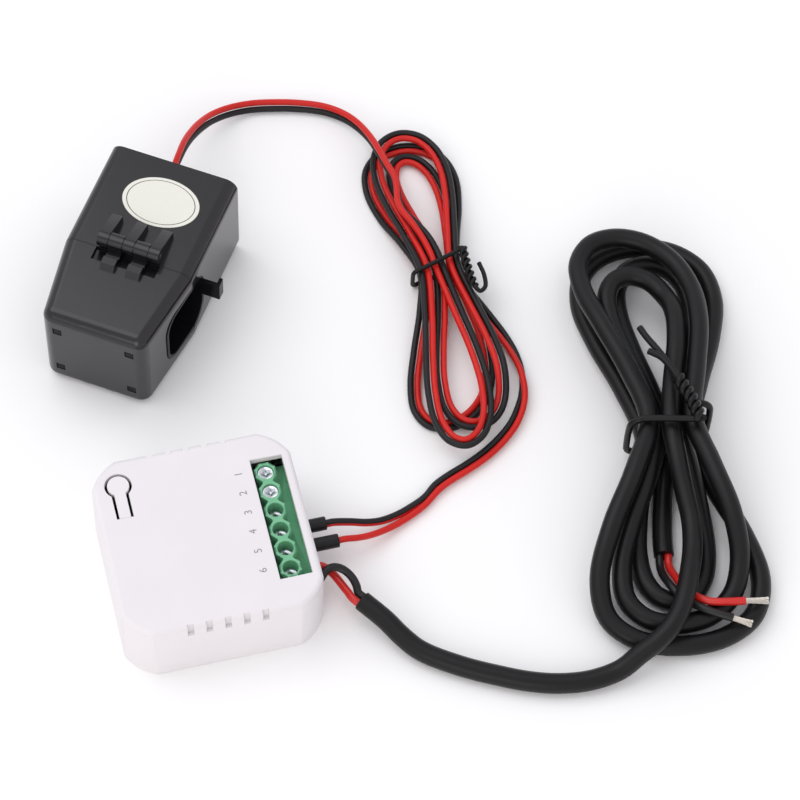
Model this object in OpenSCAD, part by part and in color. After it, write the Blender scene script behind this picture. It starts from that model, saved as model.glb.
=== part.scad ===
// Smart energy monitor: a square metering module, a split-core current clamp and their two leads.
// Origin at the middle of the module's underside, X along its front edge, Y to the back, Z up. Millimetres.

/* [Module case] */
// Width and depth of the square case
case_w = 46; // [44:0.5:56]
// Height of the case
case_h = 18.7; // [18:0.1:22]
// How far each corner is cut back along the sides
corner_cut = 6.5; // [5:0.1:8]
// Wall thickness of the cover
cover_wall = 1.6; // [1.2:0.1:1.8]
// Thickness of the cover's top
cover_top = 1.8; // [1.4:0.1:2.2]
// Rounding along the cover's top edge
edge_round = 1.2; // [0.6:0.1:1.4]
// Thickness of the base plate
base_t = 2; // [1.6:0.1:2.2]

/* [Button] */
// Radius of the button's round end
button_r = 2.5; // [2:0.1:3]
// Thickness of the button tongue
button_t = 1.2; // [0.8:0.1:1.4]
// Width of the slot round the button tongue
button_slot = 0.6; // [0.4:0.05:0.8]
// Length of the tongue from its root to the middle of its round end
button_len = 8.6; // [7:0.1:10]

/* [Vents] */
// Distance between neighbouring vent slots
vent_pitch = 4.25; // [3.5:0.05:5]
// Width of a vent slot
vent_w = 1.4; // [1:0.1:1.8]

/* [Terminals] */
// Distance between neighbouring terminals
pole_pitch = 5.08; // [5:0.01:5.2]
// Diameter of the screw heads
head_d = 3.4; // [3:0.1:3.5]

/* [Current clamp] */
// Width of the clamp across its sides
clamp_w = 32; // [30:0.5:40]
// Height of the clamp
clamp_h = 26.4; // [26:0.1:30]
// Length of the fixed half, from the parting face to the back
body_len = 28.7; // [28:0.1:36]
// Length of the opening half, from the parting face to the front
jaw_len = 22.1; // [21:0.1:28]
// Width of the opening half at its front
jaw_front_w = 26.4; // [25:0.1:29]
// Rounding along the long edges
clamp_round = 3; // [2:0.1:3.4]
// Wall thickness of the two shells
shell_wall = 1.5; // [1.2:0.1:1.8]
// Height of the conductor window
window_h = 14.8; // [12:0.1:15]
// Depth of the window in the fixed half
window_back = 5.4; // [4:0.1:6]
// Depth of the window in the opening half
window_front = 11.4; // [9:0.1:11.6]

/* [Leads] */
// Diameter of one strand of the clamp's twin lead
strand_d = 1.55; // [1.3:0.05:1.6]
// Diameter of the mains cable's jacket
jacket_d = 4.7; // [4.2:0.1:4.8]
// Diameter of a core of the mains cable
core_d = 1.9; // [1.6:0.05:2]
// Outer diameter of the sleeves at the clamp lead's terminals
sleeve_d = 3.2; // [2.6:0.1:3.4]

/* [Fits] */
// Gap between parts that slip into one another
fit = 0.15; // [0.1:0.01:0.2]
// Radial gap between a pin or shaft and its hole
run = 0.05; // [0.03:0.01:0.08]
// Gap at the clamp's parting face
parting = 0.1; // [0.05:0.01:0.2]

/* [Hidden] */
$fn = 48;
// Extra length of a cut past the face it opens
over = 1;

// Case outline: straight sides and shallow corner arcs
half = case_w / 2;
corner_sweep = 47;
corner_r = corner_cut * sqrt(2) / (2 * sin(corner_sweep / 2));
corner_c = half - corner_cut / 2 - corner_r * cos(corner_sweep / 2) / sqrt(2);
corner_steps = 8;
round_steps = 4;
round_sides = 32;
slice_t = 0.02;
inner = half - cover_wall;
cavity_top = case_h - cover_top;

// Snap beads of the base plate
bead_len = 10;
bead_h = 0.8;
bead_out = 0.35;
bead_z = 0.6;

// Circuit board, its posts and pins
board_t = 1.2;
post_h = 1.2;
board_z = base_t + post_h;
board_top = board_z + board_t;
board_gap = 0.3;
post_d = 4;
post_pin_d = 2;
post_pin_h = 0.4;
posts = [[-11, -18.5], [-8, 18.5], [8.5, 18.5], [8.5, -18.5]];

// Terminal block
poles = 6;
pole_y0 = 0.3;
block_x1 = inner - fit;
block_depth = 7.7;
block_x0 = block_x1 - block_depth;
screw_setback = 4.85;
pole_x = block_x1 - screw_setback;
block_half = poles * pole_pitch / 2 + fit;
deck_drop = 4.7;
deck_z = case_h - deck_drop;
collar_drop = 1.3;
collar_z = case_h - collar_drop;
collar_w = 4.9;
collar_sides = 8;
collar_neck = 2.4;
window_left = 3;
window_right = 4.4;
window_end = 0.3;
cell_half = 2;
cell_floor = 0.8;
cell_roof = 1.6;
cell_back = 0.5;
cell_z0 = board_top + cell_floor;
cell_z1 = deck_z - cell_roof;
cell_x0 = block_x0 + cell_back;
head_h = 1.4;
head_bore = head_d + 2 * fit;
shank_d = 2.4;
nut_t = 1;
nut_gap = 0.2;
nut_z1 = cell_z1 - nut_gap;
nut_z0 = nut_z1 - nut_t;
frame_t = 0.7;
frame_half = cell_half - fit;
plate_t = 0.7;
plate_half = 1.7;
plate_behind = 1.4;
plate_ahead = 2;
plate_x0 = pole_x - plate_behind;
plate_x1 = pole_x + plate_ahead;
tip_d = 1.4;
wire_z = cell_z0 + frame_t + tip_d / 2;
plate_tight = wire_z + tip_d / 2 + parting;
// Travel of a clamping plate between tight and open, and the terminals that stand open
plate_travel = nut_z0 - plate_tight - plate_t - parting;
open_poles = 2;
shank_h = nut_z1 + nut_gap - plate_tight - plate_t;
slot_w = 0.5;
slot_d = 0.7;
slot_half = head_d / 3;
pin_d = 1;
pin_gap = 0.4;
pin_z = base_t + pin_gap;
wire_slot_up = 0.4;
wire_slot_z0 = board_top + wire_slot_up;
wire_slot_h = 5;

// Button tongue and the switch beneath it
button_in = [6.05, 6.76];
button_x = button_in[0] - half;
button_y = half - button_in[1];
root_y = button_y - button_len;
neck_half = 1.32;
switch_w = 4.5;
switch_h = 3.6;
plunger_d = 2.3;
plunger_up = 1.8;
plunger_z = board_top + plunger_up;
plunger_top = case_h - button_t - parting;

// Vent slots
vents = 5;
vent_drop = 3.4;
vent_z = case_h - vent_drop;
vent_in = 1;

// Clamp pose on the floor and its inner sizes
clamp_at = [-2.9, 72];
clamp_turn = -34;
mid_z = clamp_h / 2;
liner_t = 1.2;
liner_ledge = 0.5;
arch_t = 1;
arch_back_r = 5;
arch_front_r = 4;
core_half = 6;
leg_gap = 0.2;
leg_z = mid_z + window_h / 2 + arch_t + leg_gap;
leg_t = clamp_h - shell_wall - parting - leg_z;
yoke_v = 13;
yoke_t = 4;
bobbin_wall = 0.8;
flange_t = 1;
flange_half = 10;
flange_v0 = 7.6;
flange_v1 = 22.5;
coil_in = 1;
rib_w = 2;
rib_u = 7;
tongue_z0 = 11.3;
tongue_h = 5.6;
tongue_out = 4.4;
tongue_lip = 0.9;
tongue_lip_out = 1.5;
peg_w = 2;
peg_u = 9;
peg_v = 10.3;
peg_gap = 0.1;
catch_u = 9.5;
catch_w = 2;
catch_t = 1.2;
catch_out = 2.2;
catch_z = 2.3;

// Hinge of the clamp
hinge_v = 1.3;
hinge_r = 2;
hinge_gap = 0.2;
hinge_z = clamp_h + hinge_r + hinge_gap;
hinge_pin_d = 1.6;
arm_w = 2.6;
arm_pitch = 6.35;
arm_v = 9;
arm_h = 1.5;
arm_lean = 20;
knuckle_w = 3.4;
knuckle_front = 10;
knuckle_under = 40;
knuckle_u = arm_pitch / 2;
pocket_half = 8;
pocket_v = 3.7;
pocket_d = 0.9;
tab_v0 = 2.9;
tab_v1 = 4.8;
tab_v2 = 5.9;
tab_h = 1.6;
dip_h = 0.7;

// Oval label on the clamp
label_at = [1.3, 16.8];
label_r = [9.4, 6.9];
label_t = 0.12;
label_steps = 60;

// Twin lead of the clamp
pair_pitch = 1.7;
strand_r = strand_d / 2;
exit_u = -2;
exit_z = 17;
exit_gap = 0.15;
exit_roll = 90;
hank_roll = 180;
hank_past = 2;
ct_black_pole = 3;
ct_red_pole = 4;
strand_sides = 8;
hank_sides = 6;
lobe_rings = 12;
ct_waist = [71.27, 66.36];
ct_turn = 1.3;
ct_c = 3.8;
// Heights at the waist and on the floor
ct_w1 = 2;
ct_w2 = 4;
ct_w3 = 6;
ct_f1 = 0.8;
// Each lobe: side, entry and exit column, middle, half width, reach, entry, tip and exit height, climb limits
ct_lobes = [
    [-1, 0, -ct_c, -4.8, 5.9, 49.4, ct_w3, 5.3, ct_w3, 0.32, 0.93],
    [1, -ct_c, ct_c, -0.3, 7, 41.7, ct_w3, 3.2, ct_w3, 0.08, 0.94],
    [-1, ct_c, 0, -0.6, 6.7, 43.7, ct_w3, 2.9, ct_w2, 0.67, 0.89],
    [1, 0, ct_c, -0.4, 4.6, 35.7, ct_w2, 1.4, ct_w2, 0.11, 1],
    [-1, ct_c, -ct_c, -7.1, 8, 41.4, ct_w2, ct_f1, ct_w2, 0.23, 0.86],
    [1, -ct_c, ct_c, -0.7, 9.3, 39.4, ct_w2, ct_f1, ct_w1, 0.09, 0.54]];
// Lead from the clamp to the hank: x, y, z and roll of the pair
ct_run = [
    [12.9, 98.8, 17, 90], [14.5, 102.4, 16.6, 90], [16.1, 105.6, 15.7, 85], [17.9, 109.2, 14.2, 80],
    [20.3, 113.4, 11.8, 75], [23.6, 118, 8.8, 65], [27.6, 122.2, 5.6, 55], [32.4, 125, 3.2, 50],
    [38, 126, 2, 50], [44.1, 125.1, 1.9, 50], [50.2, 123.5, 1.9, 55], [55.8, 121.1, 2, 60],
    [60, 117.6, 2.4, 70], [62.6, 112.6, 4, 80], [64.2, 107.2, 5.6, 90], [65, 102.4, 6.8, 90],
    [65.8, 97.4, 7.4, 90], [66.8, 92, 7.6, 95]];
ct_in = [[-5.6, 17.8, 7.5, 115], [-3.3, 12.6, 7.3, 140], [-1.5, 8.2, 6.9, 165], [-0.4, 4, 6.3, 180]];
ct_out = [[3.8, 0, 2, 180], [5.1, -4.8, 2, 180], [7.2, -9.9, 1.8, 178], [9.3, -15.1, 1.6, 172],
    [11.2, -20.1, 1.5, 160], [12.6, -25.3, 1.5, 138], [13.1, -30.9, 1.6, 105], [12.2, -36.5, 1.7, 68]];
ct_run2 = [[81.1, 26, 1.6, 40], [78.2, 21.8, 1.5, 25], [74.2, 18.2, 1.4, 15], [69.6, 15.2, 1.4, 10],
    [64.8, 12.9, 1.4, 10], [60, 11, 1.4, 10], [56.4, 9.2, 1.4, 10]];
ct_split_black = [[52.8, 7.2, 1.4], [49, 5.4, 1.4], [45, 3.9, 1.7], [41, 2.9, 2.5], [37.4, 2.6, 3.8],
    [34, 2.7, 5.3]];
ct_split_red = [[52.4, 5.2, 1.4], [48.6, 3.2, 1.4], [44.8, 1.5, 1.7], [41, 0, 2.6], [37.6, -1.2, 4],
    [34.6, -2, 5.5]];
sleeve_end = [28.2, 30];
sleeve_lead = 1.6;

// Mains cable, its cores and its hank
core_r = core_d / 2;
jacket_r = jacket_d / 2;
core_off = core_r + run;
mains_red_pole = 5;
mains_black_pole = 6;
jacket_from = [31.7, -17.8, 5];
jacket_dir = [4.1, -5.5, -0.8];
core_red_run = [[23.2, -7.32, 6.5], [25, -7.7, 5.9], [26.4, -8.8, 5.1], [27.4, -10.4, 4.7],
    [28.3, -12.5, 4.6], [29.1, -14.8, 4.9]];
core_black_run = [[22.8, -12.1, 6.9], [24, -11, 7.4], [25.2, -9.9, 7.7], [26.7, -9.4, 7.8],
    [28.2, -9.7, 7.6], [29.7, -10.8, 7.1], [30.8, -12.5, 6.5], [31.3, -14.3, 5.8]];
mains_run = [[35.8, -23.3, 4.2], [38.6, -27.8, 3.3], [42, -32, 2.6], [49.7, -37.6, 2.4],
    [57.8, -42.1, 2.4], [64, -45, 2.4], [70.4, -47, 2.4], [77.5, -47.9, 2.6]];
mains_waist = [111.53, 8.05];
mains_turn = 10.45;
mains_c1 = 2.6;
mains_c2 = 5.2;
mains_w1 = 4.4;
mains_w2 = 9;
mains_w3 = 13.6;
mains_lobes = [
    [1, 0, -mains_c1, -5.15, 7.08, 42.54, mains_w3, 9.62, mains_w2, 0.59, 0.89],
    [-1, -mains_c1, mains_c2, -2.48, 12.4, 48.39, mains_w2, 3.34, mains_w3, 0.3, 1],
    [1, mains_c2, -mains_c2, -7.68, 11.36, 53.27, mains_w3, 10.29, mains_w3, 0.42, 0.88],
    [-1, -mains_c2, mains_c2, -1.94, 17.25, 53.58, mains_w3, 2.55, mains_w1, 0.3, 1],
    [1, mains_c2, -mains_c2, -1.3, 14.69, 54.98, mains_w1, 3.07, mains_w1, 0.37, 0.67],
    [-1, -mains_c2, mains_c1, -2.3, 6.71, 42.11, mains_w1, 2.4, mains_w2, 0.05, 0.66],
    [1, mains_c1, 0, 0.21, 8.45, 49.1, mains_w2, 4.41, mains_w1, 0.42, 0.72]];
mains_in = [[-16.7, -59.3, 3.4], [-12, -56.7, 5.8], [-8, -54.5, 7.7], [-5, -51.8, 8.8],
    [-2.5, -48, 9.4], [-0.6, -42.9, 9.6], [0.7, -38.1, 9.5], [2, -32.1, 9.1], [2.5, -24.9, 9.2],
    [1.6, -18, 10.6], [0.4, -9.5, 12.9]];
mains_out = [[0, 0, 4.4], [-1.6, -10, 3], [-2.6, -16.6, 2.4], [-3.5, -24.6, 2.4], [-3.7, -28.1, 2.4],
    [-3.7, -30.1, 2.4]];
end_red_run = [[-2.8, -32.9, 2.4], [-1.9, -36.6, 4], [-0.6, -40.3, 5.8], [1.7, -42.9, 6.3],
    [4.4, -44.7, 6.9], [7, -45.2, 7.2], [10, -45.3, 7.3]];
end_black_run = [[-4.9, -33.2, 2.4], [-4.4, -36.6, 3.9], [-3.1, -40.3, 5.7], [-1.1, -43.4, 6.1],
    [1.4, -45.2, 6.4], [4.1, -47, 6.8], [7.1, -48.4, 7]];
tip_red = [[12.8, -45.2, 7.2], [18.1, -45.2, 6.8]];
tip_black = [[9.6, -49.3, 6.9], [13.7, -50.8, 6.5]];
tip_r = tip_d / 2;

// Wire ties round the two waists
ct_tie_r = 0.55;
ct_tie_corner = [[5.9, 2.4], [-5.4, -0.6]];
ct_tie_tail = [[5.2, 1.9, 8.4], [6.3, 1.1, 8.6], [6.2, -0.9, 8.6], [6.2, -3.4, 8.5], [6.3, -6.2, 8.4],
    [6.5, -8.8, 8.3]];
ct_tie_loop = [[7.6, -10.4, 8], [9.2, -9.2, 7.6], [9.8, -5.6, 7.3], [9.4, -2, 7.2]];
mains_tie_r = 0.8;
mains_tie_corner = [[6.2, 0.8], [-6.6, -1]];
mains_tie_tail = [[4.5, -2.7, 18.2], [5.9, -2, 18.7], [5.6, -0.2, 18.9], [4.8, 2.2, 18.8], [3.3, 5, 18.6],
    [2, 8, 18.6]];
mains_tie_loop = [[0.2, 12.2, 18.3], [-1.9, 16.3, 17.9], [-4, 20, 17.6], [-5.3, 22.8, 17.4]];
tie_gap = 0.1;
tie_sides = 6;
bend_rings = 3;

// Vector helpers
function unit(v) = v / norm(v);
function flat(v) = [v[0], v[1], v[2]];
function ease(a, b, x) = let(t = min(1, max(0, (x - a) / (b - a)))) t * t * (3 - 2 * t);
function last(L) = L[len(L) - 1];

// Square turned onto corner q, and the case outline drawn in by i
function quarter(q, p) = [p[0] * cos(90 * q) - p[1] * sin(90 * q), p[0] * sin(90 * q) + p[1] * cos(90 * q)];
function outline(i) = let(r = corner_r - i, a = acos((half - i - corner_c) / r))
    [for (q = [0:3]) for (s = [0:corner_steps]) let(g = a + (90 - 2 * a) * s / corner_steps)
        quarter(q, [corner_c + r * cos(g), corner_c + r * sin(g)])];

// Middle of terminal k, counted from the back
function pole_y(k) = pole_y0 + pole_pitch * ((poles + 1) / 2 - k);

// A hank's own axes laid on the floor: p to the right, q along the hank
function lay(at, turn, c) = [at[0] + c[0] * cos(turn) + c[1] * sin(turn),
    at[1] - c[0] * sin(turn) + c[1] * cos(turn), c[2]];
function clamp_point(u, v, z) = [clamp_at[0] + u * cos(clamp_turn) - v * sin(clamp_turn),
    clamp_at[1] + u * sin(clamp_turn) + v * cos(clamp_turn), z];

// One lobe of a hank, from waist to waist
sway_peak = 0.431;
function lobe_point(L, f) = let(c = cos(f), s = sin(f), way = L[1] > L[2] ? 1 : -1,
        base = (L[1] * (1 + c) + L[2] * (1 - c)) / 2, z0 = c > 0 ? L[6] : L[8])
    [base * c * c + L[3] * s * s + way * L[4] * c * pow(s, 1.5) / sway_peak, L[0] * L[5] * s,
        z0 + (L[7] - z0) * ease(L[9], L[10], s)];
function lobes(list) = [for (L = list) for (k = [0:lobe_rings - 1]) lobe_point(L, 180 * k / lobe_rings)];

// Sweeps: tangents along a path, and the points of one ring
function tangents(P, t0, t1) = let(n = len(P) - 1) [for (i = [0:n])
    i == 0 && !is_undef(t0) ? unit(t0) : i == n && !is_undef(t1) ? unit(t1)
    : unit(P[min(i + 1, n)] - P[max(i - 1, 0)])];
function side_of(t) = unit(cross([0, 0, 1], t));
function ring(p, t, r, s) = let(n = side_of(t), b = cross(t, n))
    [for (k = [0:s - 1]) p + r * (cos(360 * k / s) * n + sin(360 * k / s) * b)];

// Paths of the clamp's lead: the pair's middle and roll, then its two strands
ct_start = [flange_v1 - coil_in, body_len];
ct_pair = concat([for (v = ct_start) concat(clamp_point(exit_u, v, exit_z), [exit_roll])], ct_run,
    [for (c = ct_in) concat(lay(ct_waist, ct_turn, c), [c[3]])],
    [for (c = lobes(ct_lobes)) concat(lay(ct_waist, ct_turn, c), [hank_roll])],
    [for (c = ct_out) concat(lay(ct_waist, ct_turn, c), [c[3]])], ct_run2);
ct_mid = [for (c = ct_pair) flat(c)];
ct_tan = tangents(ct_mid, clamp_point(0, 1, 0) - clamp_point(0, 0, 0));
function strand(side) = [for (i = [0:len(ct_mid) - 1])
    let(n = side_of(ct_tan[i]), b = cross(ct_tan[i], n), roll = ct_pair[i][3])
    ct_mid[i] + side * pair_pitch / 2 * (cos(roll) * n + sin(roll) * b)];
function to_pole(k, sleeve) = [[sleeve + sleeve_lead, pole_y(k), wire_z], [sleeve, pole_y(k), wire_z],
    [block_x1 + fit, pole_y(k), wire_z]];
strand_red = concat(strand(1), ct_split_red, to_pole(ct_red_pole, sleeve_end[1]));
strand_black = concat(strand(-1), ct_split_black, to_pole(ct_black_pole, sleeve_end[0]));
tan_red = tangents(strand_red, ct_tan[0], [-1, 0, 0]);
tan_black = tangents(strand_black, ct_tan[0], [-1, 0, 0]);
ct_a = len(ct_start) + len(ct_run) + len(ct_in) - 1;
ct_b = ct_a + len(ct_lobes) * lobe_rings + hank_past;

// Paths of the mains cable
jacket_t = unit(jacket_dir);
core_side = core_off * side_of(jacket_t);
mains_path = concat([jacket_from], mains_run, [for (c = mains_in) lay(mains_waist, mains_turn, c)],
    [for (c = lobes(mains_lobes)) lay(mains_waist, mains_turn, c)],
    [for (c = mains_out) lay(mains_waist, mains_turn, c)]);
mains_tan = tangents(mains_path, jacket_t);
mains_a = len(mains_run) + len(mains_in);
mains_b = len(mains_path) - 1;
function from_pole(k) = [block_x1 + fit, pole_y(k), wire_z];
red_path = concat([from_pole(mains_red_pole)], core_red_run,
    [jacket_from - core_side - core_d * jacket_t, jacket_from - core_side]);
black_path = concat([from_pole(mains_black_pole)], core_black_run,
    [jacket_from + core_side - core_d * jacket_t, jacket_from + core_side]);
end_t = last(mains_tan);
end_side = core_off * side_of(end_t);
tip_red_w = [for (c = tip_red) lay(mains_waist, mains_turn, c)];
tip_black_w = [for (c = tip_black) lay(mains_waist, mains_turn, c)];
end_red_path = concat([last(mains_path) + end_side],
    [for (c = end_red_run) lay(mains_waist, mains_turn, c)], [tip_red_w[0]]);
end_black_path = concat([last(mains_path) - end_side],
    [for (c = end_black_run) lay(mains_waist, mains_turn, c)], [tip_black_w[0]]);

// Least gap of a hank to itself, and of one strand to the other, on points between the rings
gap_steps = 3;
gap_skip = 9;
function fine(P, a, b) = [for (i = [a:b - 1]) for (k = [0:gap_steps - 1])
    P[i] + (P[i + 1] - P[i]) * k / gap_steps];
function least_gap(A, B, d) = min([for (i = [0:len(A) - 1]) for (j = [0:len(B) - 1])
    if (abs(i - j) > gap_skip) norm(A[i] - B[j]) - d]);
fine_red = fine(strand_red, ct_a, ct_b);
fine_black = fine(strand_black, ct_a, ct_b);
fine_mains = fine(mains_path, mains_a, mains_b);
echo(gap_red = least_gap(fine_red, fine_red, strand_d));
echo(gap_black = least_gap(fine_black, fine_black, strand_d));
echo(gap_pair = least_gap(fine_red, fine_black, strand_d));
echo(gap_mains = least_gap(fine_mains, fine_mains, jacket_d));

// Wire ties: once round the bundle, then along the tail to the cut end
function tie_round(corners, z0, z1, r, half_step) = let(
        along = unit(concat(corners[0] - corners[1], [0])),
        across = cross([0, 0, 1], along), count = 4 * bend_rings - 1)
    [for (i = [0:count]) let(
        k = floor(i / bend_rings), a = 90 - 90 * k - 90 * (i % bend_rings) / (bend_rings - 1),
        c = k < 2 ? corners[0] : corners[1], z = k == 0 || k == 3 ? z1 : z0,
        slip = half_step * (1 - 2 * i / count))
        concat(c, [z]) + r * (cos(a) * along + sin(a) * [0, 0, 1]) + slip * across];
function tie_path(tail, loop, corners, z0, z1, strand_r, tie_r) = let(off = tie_r + tie_gap)
    concat(tie_round(corners, z0, z1, strand_r + off, off), tail, loop);
ct_tie_path = [for (c = tie_path(ct_tie_tail, ct_tie_loop, ct_tie_corner, ct_w1, ct_w3, strand_r, ct_tie_r))
    lay(ct_waist, ct_turn, c)];
mains_tie_path = [for (c = tie_path(mains_tie_tail, mains_tie_loop, mains_tie_corner, mains_w1, mains_w3,
    jacket_r, mains_tie_r)) lay(mains_waist, mains_turn, c)];

// Colours
white = [0.9, 0.89, 0.9];
green = [0.3, 0.6, 0.42];
steel = [0.75, 0.75, 0.77];
black = [0.1, 0.1, 0.11];
red = [0.85, 0.14, 0.1];
ferrite = [0.3, 0.3, 0.32];
copper = [0.72, 0.45, 0.25];

// Plain solids
module box(x0, x1, y0, y1, z0, z1) {
    translate([x0, y0, z0]) cube([x1 - x0, y1 - y0, z1 - z0]);
}
module rod(x, y, z0, z1, d) {
    translate([x, y, z0]) cylinder(d = d, h = z1 - z0);
}
module rod_x(x0, x1, y, z, d) {
    translate([x0, y, z]) rotate([0, 90, 0]) cylinder(d = d, h = x1 - x0);
}
module rod_y(x, y0, y1, z, d) {
    translate([x, y0, z]) rotate([-90, 0, 0]) cylinder(d = d, h = y1 - y0);
}
module slab(i, z0, z1) {
    translate([0, 0, z0]) linear_extrude(z1 - z0) polygon(outline(i));
}
module tube(P, T, r, s, a, z) {
    n = z - a;
    points = [for (i = [a:z]) each ring(P[i], T[i], r, s)];
    sides = [for (i = [0:n - 1]) for (k = [0:s - 1]) let(m = (k + 1) % s)
        each [[i * s + k, i * s + s + k, i * s + s + m], [i * s + k, i * s + s + m, i * s + m]]];
    ends = [[for (k = [0:s - 1]) k], [for (k = [s - 1:-1:0]) n * s + k]];
    polyhedron(points, concat(sides, ends));
}

// Module case
module case_form() {
    hull() {
        slab(0, 0, case_h - edge_round);
        for (k = [1:round_steps]) {
            a = 90 * k / round_steps;
            z = case_h - edge_round * (1 - sin(a));
            slab(edge_round * (1 - cos(a)), z - slice_t, z);
        }
    }
}
module button_form(grow, z0, z1) {
    rod(button_x, button_y, z0, z1, 2 * (button_r + grow));
    box(button_x - neck_half - grow, button_x + neck_half + grow, root_y, button_y, z0, z1);
}
module vent_cut(side, x) {
    box(x - vent_w / 2, x + vent_w / 2, min(side * (half - vent_in), side * (half + over)),
        max(side * (half - vent_in), side * (half + over)), vent_z, case_h + over);
}
module module_cover() {
    color(white) difference() {
        case_form();
        slab(cover_wall, -over, cavity_top);
        box(pole_x - window_left, pole_x + window_right, pole_y0 - block_half - window_end,
            pole_y0 + block_half + window_end, cavity_top - over, case_h + over);
        box(inner - over, half + over, pole_y0 - block_half, pole_y0 + block_half, wire_slot_z0,
            wire_slot_z0 + wire_slot_h);
        button_form(button_slot, cavity_top - over, case_h + over);
        for (side = [-1, 1]) {
            for (k = [0:vents - 1]) {
                vent_cut(side, (k - (vents - 1) / 2) * vent_pitch);
            }
        }
        for (side = [-1, 1]) {
            box(-bead_len / 2 - fit, bead_len / 2 + fit, side * inner - bead_out - fit,
                side * inner + bead_out + fit, bead_z - fit, bead_z + bead_h + fit);
        }
    }
}
module module_base() {
    color(white) {
        union() {
            slab(cover_wall + fit, 0, base_t);
            for (side = [-1, 1]) {
                box(-bead_len / 2, bead_len / 2, min(side * (inner - over), side * (inner + bead_out)),
                    max(side * (inner - over), side * (inner + bead_out)), bead_z, bead_z + bead_h);
            }
            for (p = posts) {
                rod(p[0], p[1], base_t - parting, board_z, post_d);
                rod(p[0], p[1], board_z - parting, board_top + post_pin_h, post_pin_d);
            }
        }
    }
}
module button_tongue() {
    color(white) difference() {
        button_form(0, case_h - button_t, case_h);
        box(button_x - neck_half - over, button_x + neck_half + over, root_y - over, root_y + parting,
            case_h - button_t - over, case_h + over);
    }
}
module circuit_board() {
    color([0.1, 0.35, 0.2]) difference() {
        slab(cover_wall + board_gap, board_z, board_top);
        for (p = posts) {
            rod(p[0], p[1], board_z - over, board_top + over, post_pin_d + 2 * run);
        }
        for (k = [1:poles]) {
            rod(pole_x, pole_y(k), board_z - over, board_top + over, pin_d + 2 * run);
        }
    }
}

// Switch under the button
module tact_switch() {
    color(black) difference() {
        box(button_x - switch_w / 2, button_x + switch_w / 2, button_y - switch_w / 2,
            button_y + switch_w / 2, board_top, board_top + switch_h);
        rod(button_x, button_y, plunger_z - slot_d, board_top + switch_h + over, plunger_d + 2 * run);
    }
}
module switch_plunger() {
    color(black) rod(button_x, button_y, plunger_z, plunger_top, plunger_d);
}

// Terminal block
module terminal_block() {
    color(green) difference() {
        union() {
            box(block_x0, block_x1, pole_y0 - block_half, pole_y0 + block_half, board_top, deck_z);
            for (k = [1:poles]) {
                translate([pole_x, pole_y(k), deck_z - over]) rotate([0, 0, 180 / collar_sides])
                    cylinder(d = collar_w / cos(180 / collar_sides), h = collar_z - deck_z + over,
                        $fn = collar_sides);
            }
            box(pole_x - collar_neck / 2, pole_x + collar_neck / 2, pole_y(poles), pole_y(1), deck_z - over,
                collar_z);
        }
        for (k = [1:poles]) {
            rod(pole_x, pole_y(k), cell_z1 - over, collar_z + over, head_bore);
            box(cell_x0, block_x1 + over, pole_y(k) - cell_half, pole_y(k) + cell_half, cell_z0, cell_z1);
            rod(pole_x, pole_y(k), board_top - over, cell_z0 + over, pin_d + 2 * run);
        }
    }
}
module terminal_frame(k) {
    y0 = pole_y(k) - frame_half;
    y1 = pole_y(k) + frame_half;
    difference() {
        union() {
            box(cell_x0 + fit, block_x1 - fit, y0, y1, cell_z0, cell_z0 + frame_t);
            box(cell_x0 + fit, cell_x0 + fit + frame_t, y0, y1, cell_z0, nut_z1);
            box(cell_x0 + fit, plate_x1, y0, y1, nut_z0, nut_z1);
            rod(pole_x, pole_y(k), pin_z, cell_z0 + frame_t, pin_d);
        }
        rod(pole_x, pole_y(k), nut_z0 - over, nut_z1 + over, shank_d + 2 * run);
    }
}
module terminal_frames() {
    color(steel) {
        for (k = [1:poles]) {
            terminal_frame(k);
        }
    }
}
function lift(k) = k <= open_poles ? plate_travel : 0;
module terminal_plate(k) {
    z = plate_tight + lift(k);
    color(steel) box(plate_x0, plate_x1, pole_y(k) - plate_half, pole_y(k) + plate_half, z, z + plate_t);
}
module terminal_screw(k) {
    z0 = plate_tight + plate_t + lift(k);
    z1 = z0 + shank_h;
    color(steel) difference() {
        union() {
            rod(pole_x, pole_y(k), z0, z1 + head_h / 2, shank_d);
            rod(pole_x, pole_y(k), z1, z1 + head_h, head_d);
        }
        translate([pole_x, pole_y(k), z1 + head_h - slot_d]) {
            box(-slot_half, slot_half, -slot_w / 2, slot_w / 2, 0, head_h);
            box(-slot_w / 2, slot_w / 2, -slot_half, slot_half, 0, head_h);
        }
    }
}

// Parts on the circuit board
radio_at = [-20, -14.5];
radio_size = [16, 13, 0.8];
shield_at = [-16, -13.5];
shield_size = [11.5, 11, 2.2];
chip_at = [5, 1];
chip_size = [5.3, 7.8, 1.75];
coil_at = [1, -14.5];
coil_size = [10, 11, 9.5];
capacitor_at = [-2, 13];
capacitor_d = 8;
capacitor_h = 10.5;
varistor_at = [0, -18.2];
varistor_d = 7;
varistor_t = 3.5;
varistor_up = 1;
leg_d = 0.6;
fuse_at = [4.5, 14];
fuse_len = 7;
fuse_d = 2.8;
module on_board(at, size, z) {
    translate([at[0], at[1], z]) cube(size);
}
module radio_board() {
    color([0.1, 0.2, 0.4]) on_board(radio_at, radio_size, board_top);
}
module radio_shield() {
    color(steel) on_board(shield_at, shield_size, board_top + radio_size[2]);
}
module metering_chip() {
    color(black) on_board(chip_at, chip_size, board_top);
}
module supply_transformer() {
    color([0.85, 0.75, 0.3]) on_board(coil_at, coil_size, board_top);
}
module supply_capacitor() {
    color([0.2, 0.22, 0.3])
        rod(capacitor_at[0], capacitor_at[1], board_top, board_top + capacitor_h, capacitor_d);
}
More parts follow.
